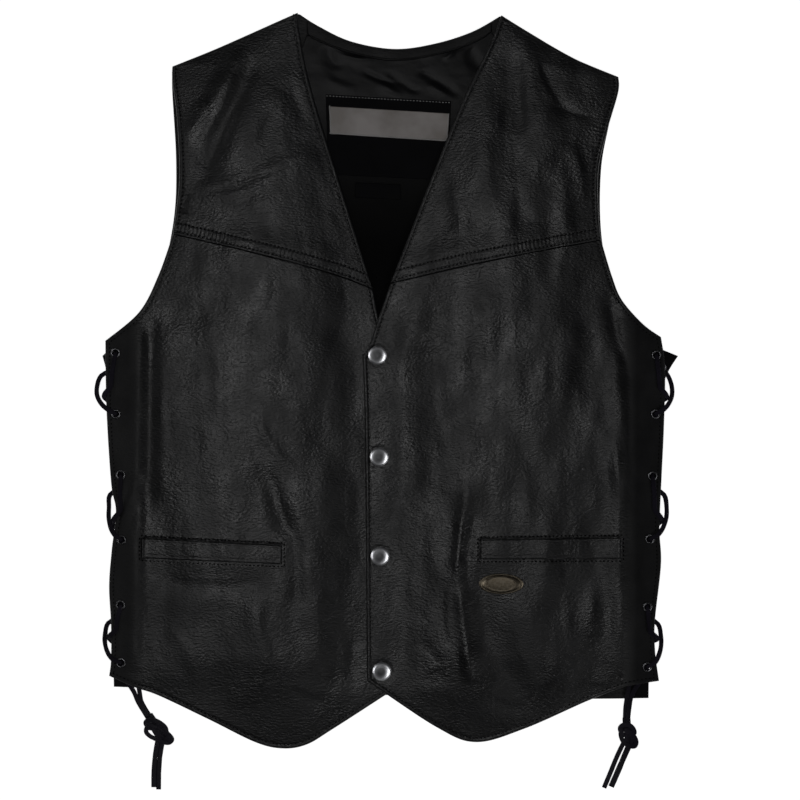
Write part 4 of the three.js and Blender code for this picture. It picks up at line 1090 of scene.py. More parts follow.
def thong(points, per_span, widths=None, seed=1):
    """Vertices, faces and centreline of a flat lace swept along points, level wherever it runs level."""
    points = np.asarray(points, float)
    spans = len(points) - 1
    rings = spans * per_span
    t = np.linspace(0, spans, rings + 1)
    centre = centripetal(points, t)
    tangent = centripetal(points, np.minimum(t + 0.02, spans)) - centripetal(points, np.maximum(t - 0.02, 0))
    tangent /= np.linalg.norm(tangent, axis=1)[:, None]
    if widths is None:
        widths = [LACE["width"]] * len(points)
    width = np.interp(t, np.arange(len(points)), widths)
    level = np.hypot(tangent[:, 0], tangent[:, 1]) > LEVEL_RUN
    across = np.cross(tangent, (0, 0, 1))
    across /= np.maximum(np.linalg.norm(across, axis=1), 1e-6)[:, None]
    flat_rings = np.nonzero(level)[0]
    for before, after in zip(flat_rings[:-1], flat_rings[1:]):
        if across[after] @ across[before] < 0:
            across[after] *= -1
    for k in np.nonzero(~level)[0]:
        earlier, later = flat_rings[flat_rings < k], flat_rings[flat_rings > k]
        a = earlier[-1] if len(earlier) else later[0]
        b = later[0] if len(later) else earlier[-1]
        share = 0 if a == b else (k - a) / (b - a)
        turned = across[a] * (1 - share) + across[b] * share
        turned -= tangent[k] * (turned @ tangent[k])
        across[k] = turned / np.linalg.norm(turned)
    normal = np.cross(across, tangent)
    run = np.concatenate([[0], np.cumsum(np.linalg.norm(np.diff(centre, axis=0), axis=1))])
    uneven = 1 + LACE["uneven"] * field(run, run * 0, LACE["uneven_length"], seed)
    section = np.array(LACE_SECTION)
    sides = len(section)
    wide = section[None, :, :1] * (width * uneven)[:, None, None] / 2
    thick = section[None, :, 1:] * LACE["thickness"] / 2
    rings_xyz = centre[:, None] + across[:, None] * wide + normal[:, None] * thick
    faces = []
    for k in range(rings):
        for s in range(sides):
            a, b = k * sides + s, k * sides + (s + 1) % sides
            faces.append([a, a + sides, b + sides, b])
    faces.append(list(range(sides)))
    faces.append([rings * sides + s for s in reversed(range(sides))])
    return rings_xyz.reshape(-1, 3), faces, centre


def joined(parts):
    """One vertex list and one face list from several."""
    vertices, faces, count = [], [], 0
    for part_vertices, part_faces in parts:
        vertices.append(np.asarray(part_vertices))
        faces += [[count + i for i in face] for face in part_faces]
        count += len(part_vertices)
    return np.vstack(vertices), faces


def through_eyelet(place, origin, target, entry_z, exit_z):
    """Down or up through an eyelet, coming from one place and going on to another: (x, y, z, width)."""
    x, y = place

    def towards(other, distance):
        length = math.hypot(other[0] - x, other[1] - y)
        return x + (other[0] - x) / length * distance, y + (other[1] - y) / length * distance

    inner = math.copysign(1, exit_z - entry_z)
    wide, pinched = LACE["width"], LACE["pinched"]
    near, away = LACE_AT_EYELET["near"], LACE_AT_EYELET["away"]
    return [
        (*towards(origin, away), entry_z, wide),
        (*towards(origin, near), entry_z, pinched),
        (x, y, entry_z + inner, pinched),
        (x, y, exit_z - inner, pinched),
        (*towards(target, near), exit_z, pinched),
        (*towards(target, away), exit_z, wide),
    ]


def outer_loop(side, k):
    """Loop from a back eyelet round the side edge, standing out from it, and onto the front."""
    lacing, edge = LACING[side], FRONTS[side]["side"]
    start, end = lacing["back"][k], lacing["front"][k + 1]
    path = []
    for share, out, z in OUTER_LOOP:
        y = start[1] + (end[1] - start[1]) * share
        x = float(edge_x(edge, y)[0]) + lacing["outward"] * lacing["reach"][k // 2] * out
        path.append((x, y, z, LACE["width"]))
    return path


def inner_loop(side, k):
    """Loop from a front eyelet along the margin, close round the edges and under the back."""
    lacing = LACING[side]
    edges = {"front": FRONTS[side]["side"], "back": BACK["side_" + side]}
    start, end = lacing["front"][k], lacing["back"][k + 1]
    path = []
    for share, panel, out, z in INNER_LOOP:
        y = start[1] + (end[1] - start[1]) * share
        path.append((float(edge_x(edges[panel], y)[0]) + lacing["outward"] * out, y, z, LACE["width"]))
    return path


def lace_route(side):
    """The threaded lace: from under the hem up one strand to the top, across inside, and down the other."""
    front, back, ends = LACING[side]["front"], LACING[side]["back"], FREE_ENDS[side]
    inner = [inner_loop(side, k) for k in (0, 2, 4)]
    outer = [outer_loop(side, k) for k in (0, 2, 4)]
    strand_a = [
        *through_eyelet(front[0], back[0], inner[0][0], LACE_INSIDE + 0.3, LACE_OVER),
        *inner[0],
        *through_eyelet(back[1], inner[0][-1], back[2], LACE_UNDER, LACE_INSIDE),
        *through_eyelet(back[2], back[1], outer[1][0], LACE_INSIDE, LACE_UNDER),
        *outer[1],
        *through_eyelet(front[3], outer[1][-1], front[4], LACE_OVER, LACE_INSIDE),
        *through_eyelet(front[4], front[3], inner[2][0], LACE_INSIDE, LACE_OVER),
        *inner[2],
        *through_eyelet(back[5], inner[2][-1], ends["end_a"][0], LACE_UNDER, LACE_INSIDE),
    ]
    strand_b = [
        *through_eyelet(back[0], front[0], outer[0][0], LACE_INSIDE - 0.2, LACE_UNDER),
        *outer[0],
        *through_eyelet(front[1], outer[0][-1], front[2], LACE_OVER, LACE_INSIDE),
        *through_eyelet(front[2], front[1], inner[1][0], LACE_INSIDE, LACE_OVER),
        *inner[1],
        *through_eyelet(back[3], inner[1][-1], back[4], LACE_UNDER, LACE_INSIDE),
        *through_eyelet(back[4], back[3], outer[2][0], LACE_INSIDE, LACE_UNDER),
        *outer[2],
        *through_eyelet(front[5], outer[2][-1], ends["end_b"][0], LACE_OVER, LACE_INSIDE),
    ]
    return strand_a[::-1] + strand_b[1:]


def add_laces(side):
    strands = [thong(path, 6, seed=3 + k)[:2] for k, path in enumerate(KNOTS[side])]
    vertices, faces = joined(strands)
    knot = add_mesh(f"lace_knot_{side}", vertices, faces, "thong", [f"lace_{side}_knot"])
    for seed, end in enumerate(("end_a", "end_b", "tail_a", "tail_b")):
        width = TAIL_WIDTHS[side].get(end, LACE["width"])
        points = FREE_ENDS[side][end]
        vertices, faces, centre = thong(points, 8, [width] * len(points), seed=10 + seed)
        piece = add_mesh(f"lace_{end}_{side}", vertices, faces, "thong", [f"lace_{side}_{end}"])
    route = np.array(lace_route(side))
    vertices, faces, _ = thong(route[:, :3], 4, route[:, 3], seed=7)
    add_mesh(f"lace_threaded_{side}", vertices, faces, "thong", [f"lace_{side}"])


# Panels

class Front:
    """One front, with the heights of its leather over the plan."""

    def __init__(self, outline, loft, folds, creases, welt, seed, waviness, snaps=()):
        self.outline = outline
        self.waviness = waviness
        self.snaps = snaps
        self.loft = np.array(loft)[::-1]
        self.folds = folds
        self.creases = creases
        self.seed = seed
        self.outer, self.inner = profile_of(outline)
        (x0, upper0, lower0), (x1, upper1, lower1) = welt["outer"], welt["inner"]
        self.welt = [(x0, upper0), (x1, upper1), (x1, lower1), (x0, lower0), (x0, upper0)]
        self.seam = fine_line(outline["seam"])
        self.free_edge = fine_line(
            outline["armhole_upper"], outline["armhole_lower"], outline["side"],
            outline["hem"], outline["front_edge"][::-1], outline["neck_lower"][::-1],
            outline["neck_upper"][::-1],
        )

    def underside(self, x, y):
        """The solid's own underside: the loft and the main folds."""
        flat_x, flat_y = np.ravel(x), np.ravel(y)
        outer, inner = edge_x(self.outer, flat_y), edge_x(self.inner, flat_y)
        span = np.where(np.abs(inner - outer) < 1e-6, 1, inner - outer)
        share = np.clip((flat_x - outer) / span, 0, 1)
        rows, *sections = self.loft.T
        heights = [smooth_through(rows, section, flat_y) for section in sections]
        height = smooth_through(ACROSS, np.array(heights), share)
        for fold in self.folds:
            height = height + fold_rise(fold, flat_x, flat_y)
        return height.reshape(np.shape(x))

    def base(self, x, y, edge=None):
        """The underside with the finer creases and the leather's unevenness, calm near the edges."""
        if edge is None:
            edge = nearest(x, y, self.free_edge)[0]
        calm = CALM["least"] + (1 - CALM["least"]) * smooth_step(edge, CALM["from"], CALM["to"])
        height = self.underside(x, y)
        for crease in self.creases:
            height = height + CREASE_GAIN * crease_rise(crease, x, y)
        for size, rise, seed_step in UNEVEN:
            height = height + calm * self.waviness * rise * field(x, y, size, self.seed + seed_step)
        return height

    def seam_y(self, x):
        order = np.argsort(self.seam[:, 0])
        return np.interp(x, self.seam[order, 0], self.seam[order, 1])

    def welt_relief(self, x, y):
        """The groove round a pocket's welt, deepest at its upper edge, and the stitched ridge outside."""
        (x0, upper0), (x1, upper1) = self.welt[:2]
        (_, lower1), (_, lower0) = self.welt[2:4]
        low, high = min(x0, x1), max(x0, x1)
        share = (x - x0) / (x1 - x0)
        top, bottom = upper0 + (upper1 - upper0) * share, lower0 + (lower1 - lower0) * share
        outside_x = np.maximum(0, np.maximum(low - x, x - high))
        outside_y = np.maximum(0, np.maximum(bottom - y, y - top))
        away = np.hypot(outside_x, outside_y)
        at_top = (y > top) & (outside_x < 1)
        depth = np.where(at_top, WELT_GROOVE["top_depth"], WELT_GROOVE["depth"])
        groove = -depth * np.exp(-((away / WELT_GROOVE["width"]) ** 2))
        ridge = WELT_RIDGE["rise"] * np.exp(-(((away - WELT_RIDGE["at"]) / WELT_RIDGE["width"]) ** 2))
        beside = away - WELT_STITCH["at"]
        stitched = -WELT_STITCH["depth"] * np.exp(-((beside / WELT_STITCH["width"]) ** 2))
        ripple = WELT_RIPPLE["rise"] * field(x, y, WELT_RIPPLE["size"], self.seed + 31)
        ripple = ripple * np.exp(-((beside / WELT_RIPPLE["fade"]) ** 2))
        return groove + ridge + stitched + np.where(outside_y > 0, ripple, 0)

    def body(self, x, y, rim=RIM):
        """Upper and lower heights of the body panel."""
        edge, run = nearest(x, y, self.free_edge)
        above_seam = y - self.seam_y(x)
        tuck = -TUCK_DROP * smooth_step(above_seam, *TUCK_STEP)
        upper, lower = rounded(self.base(x, y, edge) + tuck, LEATHER, rim)
        relief = self.welt_relief(x, y)
        higher = smooth_step(y, RIB_REACH["low_y"], RIB_REACH["high_y"])
        reach = RIB_REACH["low"] + (RIB_REACH["high"] - RIB_REACH["low"]) * higher
        turned = turned_edge(edge, run, self.seed, reach, RIB_RISE["body"]) * smooth_step(-above_seam, 0, 1.5)
        for snap_x, snap_y in self.snaps:
            away = np.hypot(x - snap_x, y - snap_y) - SNAP["radius"]
            turned = turned - SNAP["dimple"] * np.exp(-((away / SNAP["dimple_width"]) ** 2))
        return upper + relief + turned, lower + np.minimum(0, relief)

    def yoke(self, x, y, rim=RIM):
        """Upper and lower heights of the yoke."""
        edge, run = nearest(x, y, self.free_edge)
        from_seam, seam_run = nearest(x, y, self.seam)
        band = SEAM_STEP * smooth_step(SEAM_BAND + SEAM_FADE - from_seam, 0, SEAM_FADE)
        upper, lower = rounded(self.base(x, y, edge) + band, LEATHER, rim)
        first, second = SEAM_ROWS
        lip = SEAM_RELIEF["lip"] * np.sin(math.pi * np.clip(from_seam / first, 0, 1))
        between = np.sin(math.pi * np.clip((from_seam - first) / (second - first), 0, 1))
        uneven = np.clip(0.6 + 0.8 * field(seam_run, seam_run * 0, 23, self.seed + 41), 0.15, 1.4)
        ribs = (0.5 - pits(seam_run)) * SEAM_RELIEF["rib"] * uneven
        swell = between**0.7 * (SEAM_RELIEF["swell"] + ribs)
        beyond = (from_seam - second - SEAM_RELIEF["above_at"]) / SEAM_RELIEF["above_width"]
        above = SEAM_RELIEF["above"] * (0.5 - pits(seam_run)) * np.exp(-(beyond**2))
        rows = sum(stitch_groove(from_seam, seam_run, row) for row in SEAM_ROWS)
        turned = turned_edge(edge, run, self.seed, RIB_REACH["yoke"], RIB_RISE["yoke"])
        return upper + lip + swell + above + rows + turned, lower

    def face(self, x, y):
        """Height of whichever panel's upper face lies there."""
        return np.where(y > self.seam_y(x), self.yoke(x, y)[0], self.body(x, y)[0])

    def body_grid(self):
        o = self.outline
        tucked = fine_line(moved(o["seam"], 0, TUCK))
        tucked[:, 0] += np.linspace(1, -1, len(tucked)) * np.sign(tucked[-1, 0] - tucked[0, 0]) * TUCK_IN
        columns = int(abs(o["side"][0][0] - o["front_edge"][0][0]) / COLUMN_CELL)
        upper_rows, lower_rows = (int(length_of(o[edge]) / ROW_CELL) for edge in ("armhole_lower", "side"))

        def side_of(first, second, start):
            head = np.vstack([start, spline(o[first], np.linspace(0, 1, 200))])
            foot = spline(o[second], np.linspace(0, 1, 400))
            a, b = length_of(head), length_of(foot)
            upper = shares_along(a, upper_rows, np.array(TUCK_LINES) * ASLANT[first], ()) * a
            lower = a + shares_along(b, lower_rows, (), EDGE_LINES) * b
            return np.vstack([head, foot[1:]]), np.concatenate([upper, lower[1:]]) / (a + b)

        left, left_shares = side_of("armhole_lower", "side", tucked[0])
        right, right_shares = side_of("neck_lower", "front_edge", tucked[-1])
        bottom = fine_line(o["hem"], step=1)
        self.body_rim = np.vstack([left, bottom, right[::-1], tucked[::-1]])
        grid = panel_grid(left, right, tucked, bottom, left_shares, right_shares, columns)
        return grid, rim_distances(*grid.shape[:2], TUCK_LINES, EDGE_LINES)

    def yoke_grid(self):
        o = self.outline
        seam = fine_line(moved(o["seam"], 0, SEAM_GAP / 2), step=1)
        left, right = (fine_line(o[edge], step=1) for edge in ("armhole_upper", "neck_upper"))
        left[-1], right[-1] = seam[0], seam[-1]
        columns = int(length_of(seam) / SEAM_CELL)
        rows = int(length_of(right) / 1.15 / YOKE_CELL)
        lines = np.array(SEAM_LINES)
        left_shares = shares_along(length_of(left), rows, EDGE_LINES, lines * ASLANT["armhole_upper"])
        right_shares = shares_along(length_of(right), rows, EDGE_LINES, lines * ASLANT["neck_upper"])
        top = fine_line(o["shoulder"][::-1], step=1)
        self.yoke_rim = np.vstack([left, seam, right[::-1], top[::-1]])
        grid = panel_grid(left, right, top, seam, left_shares, right_shares, columns)
        return grid, rim_distances(*grid.shape[:2], EDGE_LINES, SEAM_LINES)


def back_surface(x, y):
    """Height of the back's underside: flat, but for the margins that lie on the laces."""
    right, left = (edge_x(BACK[side], np.ravel(y)) for side in ("side_right", "side_left"))
    edge = np.abs(np.where(np.ravel(x) < 0, right, left)).reshape(np.shape(x))
    from_edge = 1 - smooth_step(edge - np.abs(x), *BACK_LIFT["edge"])
    from_top = 1 - smooth_step(y, *BACK_LIFT["top"])
    from_hem = smooth_step(y, *BACK_LIFT["hem"])
    at_hem = BACK_LIFT["hem_share"]
    return BACK_LIFT["height"] * from_edge * from_top * (at_hem + (1 - at_hem) * from_hem)


def lining_surface(x, y):
    return back_surface(x, y) + LEATHER + SEAM_GAP


def punch(piece, places):
    """Cuts a round hole through a panel at each place."""
    parts = []
    for x, y in places:
        angles = np.linspace(0, 2 * math.pi, PUNCH["sides"] + 1)[:-1]
        ring = np.stack([x + EYELET_HOLE * np.cos(angles), y + EYELET_HOLE * np.sin(angles)], axis=1)
        vertices = [(*p, z) for z in PUNCH["heights"] for p in ring]
        count = len(ring)
        faces = [[i, (i + 1) % count, count + (i + 1) % count, count + i] for i in range(count)]
        faces += [list(range(count))[::-1], list(range(count, 2 * count))]
        parts.append((vertices, faces))
    vertices, faces = joined(parts)
    mesh = bpy.data.meshes.new("punch")
    mesh.from_pydata((vertices * METRE).tolist(), [], faces)
    cutter = bpy.data.objects.new("punch", mesh)
    bpy.context.scene.collection.objects.link(cutter)
    modifier = piece.modifiers.new("punch", "BOOLEAN")
    modifier.object = cutter
    modifier.operation = "DIFFERENCE"
    modifier.solver = "EXACT"
    graph = bpy.context.evaluated_depsgraph_get()
    cut = bpy.data.meshes.new_from_object(piece.evaluated_get(graph))
    piece.modifiers.clear()
    piece.data = cut
    cut.polygons.foreach_set("use_smooth", [True] * len(cut.polygons))
    bpy.data.objects.remove(cutter)


def add_front(side, front):
    grid, rim = front.body_grid()
    upper, lower = front.body(grid[..., 0], grid[..., 1], rim)
    body = shell(f"vest_front_{side}_body", grid, upper, lower, "leather", [f"front_{side}_body"])
    punch(body, LACING[side]["front"])
    grid, rim = front.yoke_grid()
    upper, lower = front.yoke(grid[..., 0], grid[..., 1], rim)
    yoke = shell(f"vest_front_{side}_yoke", grid, upper, lower, "leather", [f"front_{side}_yoke"])
    return body, yoke


def add_back():
    top = fine_line(RIGHT["shoulder"][::-1], BACK["neckline"], LEFT["shoulder"], step=1.5)
    bottom = fine_line(BACK["hem"])
    columns = int(length_of(bottom) / BACK_CELL)
    edges = ("armhole_right", "side_right")
    upper_rows, lower_rows = (int(length_of(BACK[edge]) / BACK_CELL) for edge in edges)

    def side_of(first, second):
        head, foot = fine_line(BACK[first]), fine_line(BACK[second])
        a, b = length_of(head), length_of(foot)
        upper = shares_along(a, upper_rows, EDGE_LINES, ()) * a
        lower = a + shares_along(b, lower_rows, (), EDGE_LINES) * b
        return np.vstack([head, foot[1:]]), np.concatenate([upper, lower[1:]]) / (a + b)

    right, right_shares = side_of("armhole_right", "side_right")
    left, left_shares = side_of("armhole_left", "side_left")
    grid = panel_grid(right, left, top, bottom, right_shares, left_shares, columns)
    rim = rim_distances(*grid.shape[:2], EDGE_LINES, EDGE_LINES)
    x, y = grid[..., 0], grid[..., 1]
    upper, lower = rounded(back_surface(x, y), LEATHER, rim)
    rim_line = fine_line(
        BACK["armhole_right"], BACK["side_right"], BACK["hem"], BACK["side_left"][::-1],
        BACK["armhole_left"][::-1],
    )
    away, run = nearest(x, y, rim_line)
    upper = upper + BACK_TURN * turned_edge(away, run, 71, RIB_REACH["back"], RIB_RISE["body"])
    back = shell("vest_back", grid, upper, lower, "inside", ["back"])
    punch(back, LACING["right"]["back"] + LACING["left"]["back"])
    return back


def facing_edges(count):
    shares = np.linspace(FACING["margin"], 1 - FACING["margin"], count)
    upper = spline(BACK["neckline"], shares) - (0, FACING["inset"])
    from_end = np.minimum(1, np.linspace(0, 4, count))
    depth = FACING["end_depth"] + (FACING["depth"] - FACING["end_depth"]) * from_end
    lower = upper - np.stack([np.zeros(count), depth], axis=1)
    return upper, lower


def add_facing():
    upper_edge, lower_edge = facing_edges(110)
    down = np.array([0, 0.03, 0.08, 0.16, 0.3, 0.45, 0.6, 0.75, 0.86, 0.93, 0.97, 1])
    grid = upper_edge[None] + (lower_edge - upper_edge)[None] * down[:, None, None]
    x, y = grid[..., 0], grid[..., 1]
    rim = np.vstack([upper_edge, lower_edge[::-1], upper_edge[:1]])
    upper, lower = rounded(lining_surface(x, y), SATIN, nearest(x, y, rim)[0])
    puff = 0.35 * np.sin(math.pi * down)[:, None] + 0.12 * field(x, y, (7, 4), 51)
    return shell("vest_neck_facing", grid, upper + puff, lower, "inside", ["neck_facing"])


def lining_relief(x, y):
    """Wrinkles of the satin, calm beneath the fronts and flat under the label."""
    relief = sum(crease_rise(wrinkle, x, y) for wrinkle in LINING_WRINKLES)
    away = 0.1 * field(x, y, (16, 9), 61, 3) + 0.2 * field(x, y, (34, 22), 64)
    label = smooth_step(y, 254, 262) + smooth_step(-y, -178, -170)
    centred = 1 - smooth_step(np.abs(x), 66, 90)
    return (relief + away * centred) * np.clip(label, 0, 1) + 0.12


def add_lining():
    lower_facing = facing_edges(40)[1] - (0, LINING["gap"])
    top = fine_line(np.vstack([LINING["right_shoulder"], lower_facing, LINING["left_shoulder"]]))
    right = fine_line([tuple(top[0])] + LINING["right"])
    left = fine_line([tuple(top[-1])] + LINING["left"])
    bottom = fine_line([LINING["right"][-1], LINING["left"][-1]])
    lines = np.array(EDGE_LINES) / length_of(right)
    steps = [np.linspace(*row) for row in LINING_ROWS]
    down = np.unique(np.concatenate([[0], lines, *steps, 1 - lines, [1]]))
    grid = panel_grid(right, left, top, bottom, down, down, LINING_COLUMNS)
    x, y = grid[..., 0], grid[..., 1]
    rim = nearest(x, y, np.vstack([right, bottom, left[::-1], top[::-1]]))[0]
    upper, lower = rounded(lining_surface(x, y), SATIN, rim)
    raised = np.maximum(lining_relief(x, y), -0.6)
    return shell("vest_back_lining", grid, upper + raised, lower, "satin", ["back_lining"])


def patch(name, cloth, base, material, replaced, seed=81):
    """A four-cornered piece of cloth lying on the lining."""
    corners = np.array(cloth["corners"], float)
    width, height = np.linalg.norm(corners[1] - corners[0]), np.linalg.norm(corners[3] - corners[0])
    across = shares_along(width, int(width / PATCH_CELL))
    down = shares_along(height, int(height / PATCH_CELL))
    grid = corner_grid(corners, across, down)
    x, y = grid[..., 0], grid[..., 1]
    rim = np.vstack([corners, corners[:1]])
    upper, lower = rounded(base, cloth["thickness"], nearest(x, y, rim)[0])
    ripple = PATCH_RIPPLE["rise"] * (1 + field(x, y, PATCH_RIPPLE["size"], seed))
    return shell(name, grid, upper + ripple, lower + ripple * 0.5, material, replaced)


def label_stitches(corners, height, row):
    """A row of stitches between two corners of a label, at a height."""
    line = fine_line([np.array(corner, float) for corner in corners])
    size = (row["length"], row["thread"])
    return stitches(line, row["inset"], lambda x, y: x * 0 + height, -1, pitch=row["pitch"], size=size)


def add_labels():
    on_lining = LEATHER + 2 * SEAM_GAP + SATIN + 0.1
    on_label = on_lining + NECK_LABEL["thickness"] + SEAM_GAP
    patch("vest_neck_label", NECK_LABEL, on_lining, "label", ["neck_label"])
    patch("vest_label_band", LABEL_BAND, on_label, "band", ["label_band"])
    patch("vest_size_tab", SIZE_TAB, on_lining, "label", ["size_tab"], seed=84)
    rows = [label_stitches(NECK_LABEL["corners"][:2], on_label, LABEL_ROW)]
    band = LABEL_BAND["corners"] + LABEL_BAND["corners"][:1]
    above_band = on_label + LABEL_BAND["thickness"] + BAND_ROW["lift"]
    rows += [label_stitches(band[k:k + 2], above_band, BAND_ROW) for k in (1, 2, 3)]
    vertices, faces = joined(rows)
    add_mesh("vest_label_thread", vertices, faces, "pale_thread")


def add_welt(side, front):
    rim = np.array(front.welt, float)
    across = shares_along(np.linalg.norm(rim[1] - rim[0]), WELT["columns"])
    down = shares_along(np.linalg.norm(rim[3] - rim[0]), WELT["rows"])
    grid = corner_grid(rim[:4], across, down)
    x, y = grid[..., 0], grid[..., 1]
    away = nearest(x, y, rim)[0]
    base = front.base(x, y) + LEATHER + WELT["lift"]
    upper, lower = rounded(base, WELT["thickness"], away)
    crown = WELT["crown"] * smooth_step(away, 0, 5) + 0.1 * field(x, y, (15, 8), 91)
    lip = WELT["lip"] * np.exp(-(((away - 1.2) / 0.9) ** 2))
    shell(f"vest_welt_{side}", grid, upper + crown + lip, lower, "leather", [f"welt_{side}"])


# Stitching

def stitches(line, inset, height, inward, clear=None, pitch=STITCH_PITCH, size=(STITCH_LENGTH, THREAD)):
    """Vertices and faces of a row of stitches beside a line, at the given distance into the panel."""
    long, thread = size
    step = 0.4
    line = np.asarray(line, float)
    run = np.concatenate([[0], np.cumsum(np.linalg.norm(np.diff(line, axis=0), axis=1))])
    centres = np.arange(pitch / 2, run[-1], pitch)

    def at(s):
        return np.stack([np.interp(s, run, line[:, i]) for i in range(2)], axis=1)

    tangent = at(centres + step) - at(centres - step)
    tangent /= np.linalg.norm(tangent, axis=1)[:, None]
    normal = np.stack([-tangent[:, 1], tangent[:, 0]], axis=1) * inward
    middle = at(centres) + normal * inset
    if clear is not None:
        edge, distance = clear
        kept = nearest(middle[:, 0], middle[:, 1], edge)[0] > distance
        tangent, normal, middle = tangent[kept], normal[kept], middle[kept]
    rings = np.array([-0.5, -0.3, 0.3, 0.5])
    radii = thread * np.array([0.4, 1, 1, 0.4])
    sink = np.array([-0.2, 0.05, 0.05, -0.2])
    sides = 6
    angles = np.linspace(0, 2 * math.pi, sides + 1)[:-1]
    ring_xy = middle[:, None] + tangent[:, None] * rings[None, :, None] * long
    ring_z = height(middle[:, 0], middle[:, 1])[:, None] + sink
    side_xy = normal[:, None, None] * (radii[None, :, None, None] * np.cos(angles)[None, None, :, None])
    xy = ring_xy[:, :, None] + side_xy
    z = ring_z[..., None] + radii[None, :, None] * np.sin(angles)
    vertices = np.concatenate([xy, z[..., None]], axis=3)
    count = len(rings)
    pattern = []
    for k in range(count - 1):
        for s in range(sides):
            a, b = k * sides + s, k * sides + (s + 1) % sides
            pattern.append([a, b, b + sides, a + sides])
    pattern.append(list(range(sides))[::-1])
    pattern.append([(count - 1) * sides + s for s in range(sides)])
    faces = [[n * count * sides + i for i in face] for n in range(len(middle)) for face in pattern]
    return vertices.reshape(-1, 3), faces


def inward_sign(line, inside):
    """Which side of a line a point inside the panel lies on."""
    line = np.asarray(line, float)
    middle = len(line) // 2
    tangent = line[middle + 1] - line[middle - 1]
    to = np.array(inside) - line[middle]
    return 1 if tangent[0] * to[1] - tangent[1] * to[0] > 0 else -1


def add_stitching(side, front):
    o = front.outline
    edge = front.free_edge
    area = np.sum(edge[:, 0] * np.roll(edge[:, 1], -1) - edge[:, 1] * np.roll(edge[:, 0], -1))
    rows = [stitches(edge, STITCH_IN, front.face, 1 if area > 0 else -1, (edge, STITCH_IN - 0.3))]
    yoke_inside = (0.5 * (o["seam"][0][0] + o["seam"][-1][0]), 200)
    for row in SEAM_ROWS:
        inward = inward_sign(front.seam, yoke_inside)
        clear = (edge, STITCH_IN + 1)
        rows.append(stitches(front.seam, row, lambda x, y: front.yoke(x, y)[0], inward, clear))
    corners = [np.array(corner) for corner in front.welt]
    centre = sum(corners[:4]) / 4
    for a, b in zip(corners[:-1], corners[1:]):
        grow = (b - a) / np.linalg.norm(b - a) * WELT_STITCH["at"]
        line = fine_line([a - grow, b + grow])
        inward = inward_sign(line, centre)
        rows.append(stitches(line, -WELT_STITCH["at"], lambda x, y: front.body(x, y)[0], inward))
    vertices, faces = joined(rows)
    add_mesh(f"vest_stitching_{side}", vertices, faces, "thread")


# Trim

def turned_part(profile, segments, scale=(1, 1)):
    """Vertices and faces of a shape turned about +Z from a closed or axis-to-axis profile."""
    vertices, faces, rings = [], [], []
    angles = np.linspace(0, 2 * math.pi, segments + 1)[:-1]
    for radius, z in profile:
        if radius == 0:
            rings.append([len(vertices)] * segments)
            vertices.append((0, 0, z))
        else:
            rings.append([len(vertices) + i for i in range(segments)])
            wide, tall = radius * scale[0], radius * scale[1]
            vertices += [(wide * math.cos(a), tall * math.sin(a), z) for a in angles]
    closed = profile[0] == profile[-1] and profile[0][0] > 0
    if closed:
        vertices = vertices[:-segments]
        rings[-1] = rings[0]
    for low, high in zip(rings[:-1], rings[1:]):
        for s in range(segments):
            n = (s + 1) % segments
            face = [low[s], low[n], high[n], high[s]]
            faces.append([v for i, v in enumerate(face) if v not in face[:i]])
    return np.array(vertices, float), faces


def stood_on(vertices, height, place, lift):
    """Turns a shape made about +Z to stand on a face at a place."""
    x, y = place
    step = 2.0
    z = height(np.array([x, x + step, x - step, x, x]), np.array([y, y, y, y + step, y - step]))
    normal = Vector((-(z[1] - z[2]) / (2 * step), -(z[3] - z[4]) / (2 * step), 1)).normalized()
    turn = np.array(Vector((0, 0, 1)).rotation_difference(normal).to_matrix())
    return vertices @ turn.T + np.array([x, y, z[0]]) + np.array(normal) * lift


def add_eyelet(name, height, place, lift):
    """Rolled eyelet: a rounded flange on each face and a smooth bore."""
    bore, barrel, flange, lip = (EYELET[key] for key in ("bore", "barrel", "flange", "lip"))
    foot, face = -EYELET["clearance"], LEATHER + EYELET["clearance"]
    middle, half = (bore + flange) / 2, (flange - bore) / 2
    half_turn = np.linspace(0, math.pi, 9)
    upper = [(middle + half * math.cos(a), face + lip + EYELET["roll"] * math.sin(a)) for a in half_turn]
    under = [(bore, foot - lip), (flange, foot), (barrel, foot), (barrel, face)]
    profile = under + [(flange, face)] + upper + [under[0]]
    vertices, faces = turned_part(profile, 32)
    vertices = stood_on(vertices, height, place, lift)
    return add_mesh(name, vertices, faces, "eyelet", [name.replace("vest_", "")])


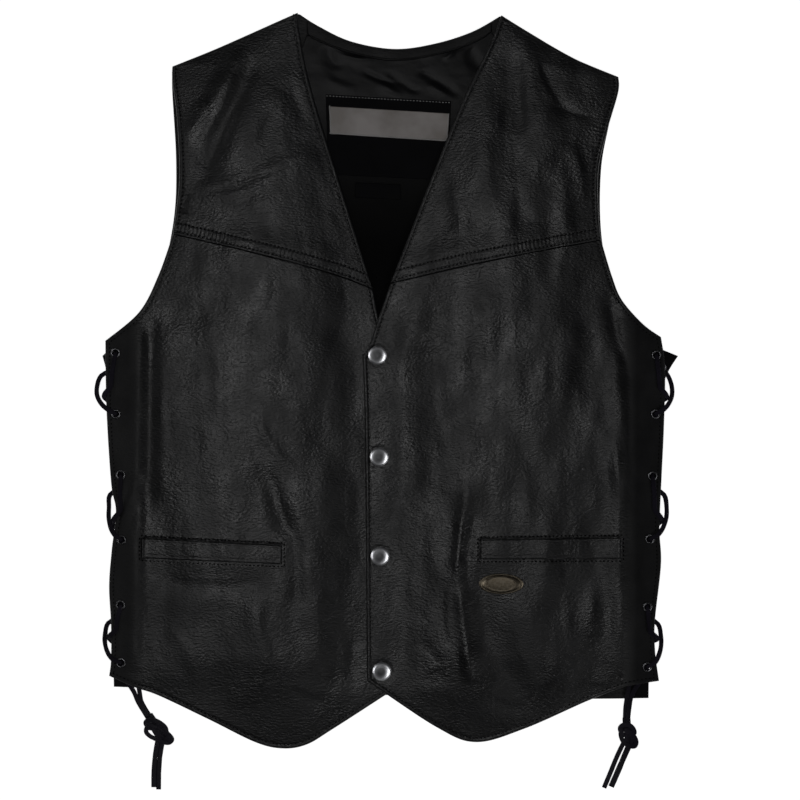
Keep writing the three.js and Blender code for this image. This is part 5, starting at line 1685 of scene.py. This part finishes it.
def add_snap(index, place, front):
    """Domed snap cap with a rolled rim and a narrow channel inside it."""
    radius, height = SNAP["radius"], SNAP["height"]
    profile = [(0, 0), (radius - 0.8, 0), (radius - 0.2, 0.3)]
    rim, rim_z = 0.6, 0.8
    rim_turn = np.linspace(-0.4, 1.25, 6)
    profile += [(radius - rim + rim * math.cos(a), rim_z + rim * math.sin(a)) for a in rim_turn]
    dome, dome_z = radius - 0.5, 1.3
    dome_turn = np.linspace(0.16, math.pi / 2, 18)[:-1]
    profile += [(dome * math.cos(a), dome_z + (height - dome_z) * math.sin(a)) for a in dome_turn]
    profile += [(0, height)]
    vertices, faces = turned_part(profile, 64)
    vertices = stood_on(vertices, lambda x, y: front.base(x, y) + LEATHER, place, SEAM_GAP)
    add_mesh(f"vest_snap_{index}", vertices, faces, "gunmetal", [f"snap_{index}"])


def add_badge(front):
    """Oval badge with a rounded raised rim round a bare, slightly domed face."""
    wide, tall, base, relief = (BADGE[key] for key in ("half_width", "half_height", "base", "relief"))
    edge = BADGE["rim"] / wide
    low, high = base + relief * 0.35, relief * 0.65
    profile = [(0, 0), (0.985, 0), (1, 0.3), (1, low)]
    turn = np.linspace(0.3, math.pi, 8)
    profile += [(1 - edge + edge * math.cos(a), low + high * math.sin(a)) for a in turn]
    profile += [(1 - 2.15 * edge, base), (0.6, base + 0.22), (0.3, base + 0.33), (0, base + 0.36)]
    vertices, faces = turned_part(profile, 96, (wide, tall))
    vertices = stood_on(vertices, lambda x, y: front.base(x, y) + LEATHER, BADGE_PLACE, 0.35)
    add_mesh("vest_badge", vertices, faces, "brass", ["badge"])


def build():
    add_camera()
    for side in ("right", "left"):
        add_laces(side)
    fronts = {
        "right": Front(RIGHT, RIGHT_LOFT, RIGHT_FOLDS, RIGHT_CREASES, WELTS["right"], 2.5, 0.85),
        "left": Front(LEFT, LEFT_LOFT, LEFT_FOLDS, LEFT_CREASES, WELTS["left"], 7.5, 1.1, SNAPS),
    }
    for side, front in fronts.items():
        body, yoke = add_front(side, front)
        add_stitching(side, front)
        add_welt(side, front)
        for index, place in enumerate(LACING[side]["front"], 1):
            add_eyelet(f"vest_eyelet_front_{side}_{index}", front.base, place, 0)
        for index, place in enumerate(LACING[side]["back"], 1):
            add_eyelet(f"vest_eyelet_back_{side}_{index}", back_surface, place, 0)
    for index, place in enumerate(SNAPS, 1):
        add_snap(index, place, fronts["left"])
    add_badge(fronts["left"])
    back = add_back()
    add_facing()
    lining = add_lining()
    add_labels()
    add_stage()


build()
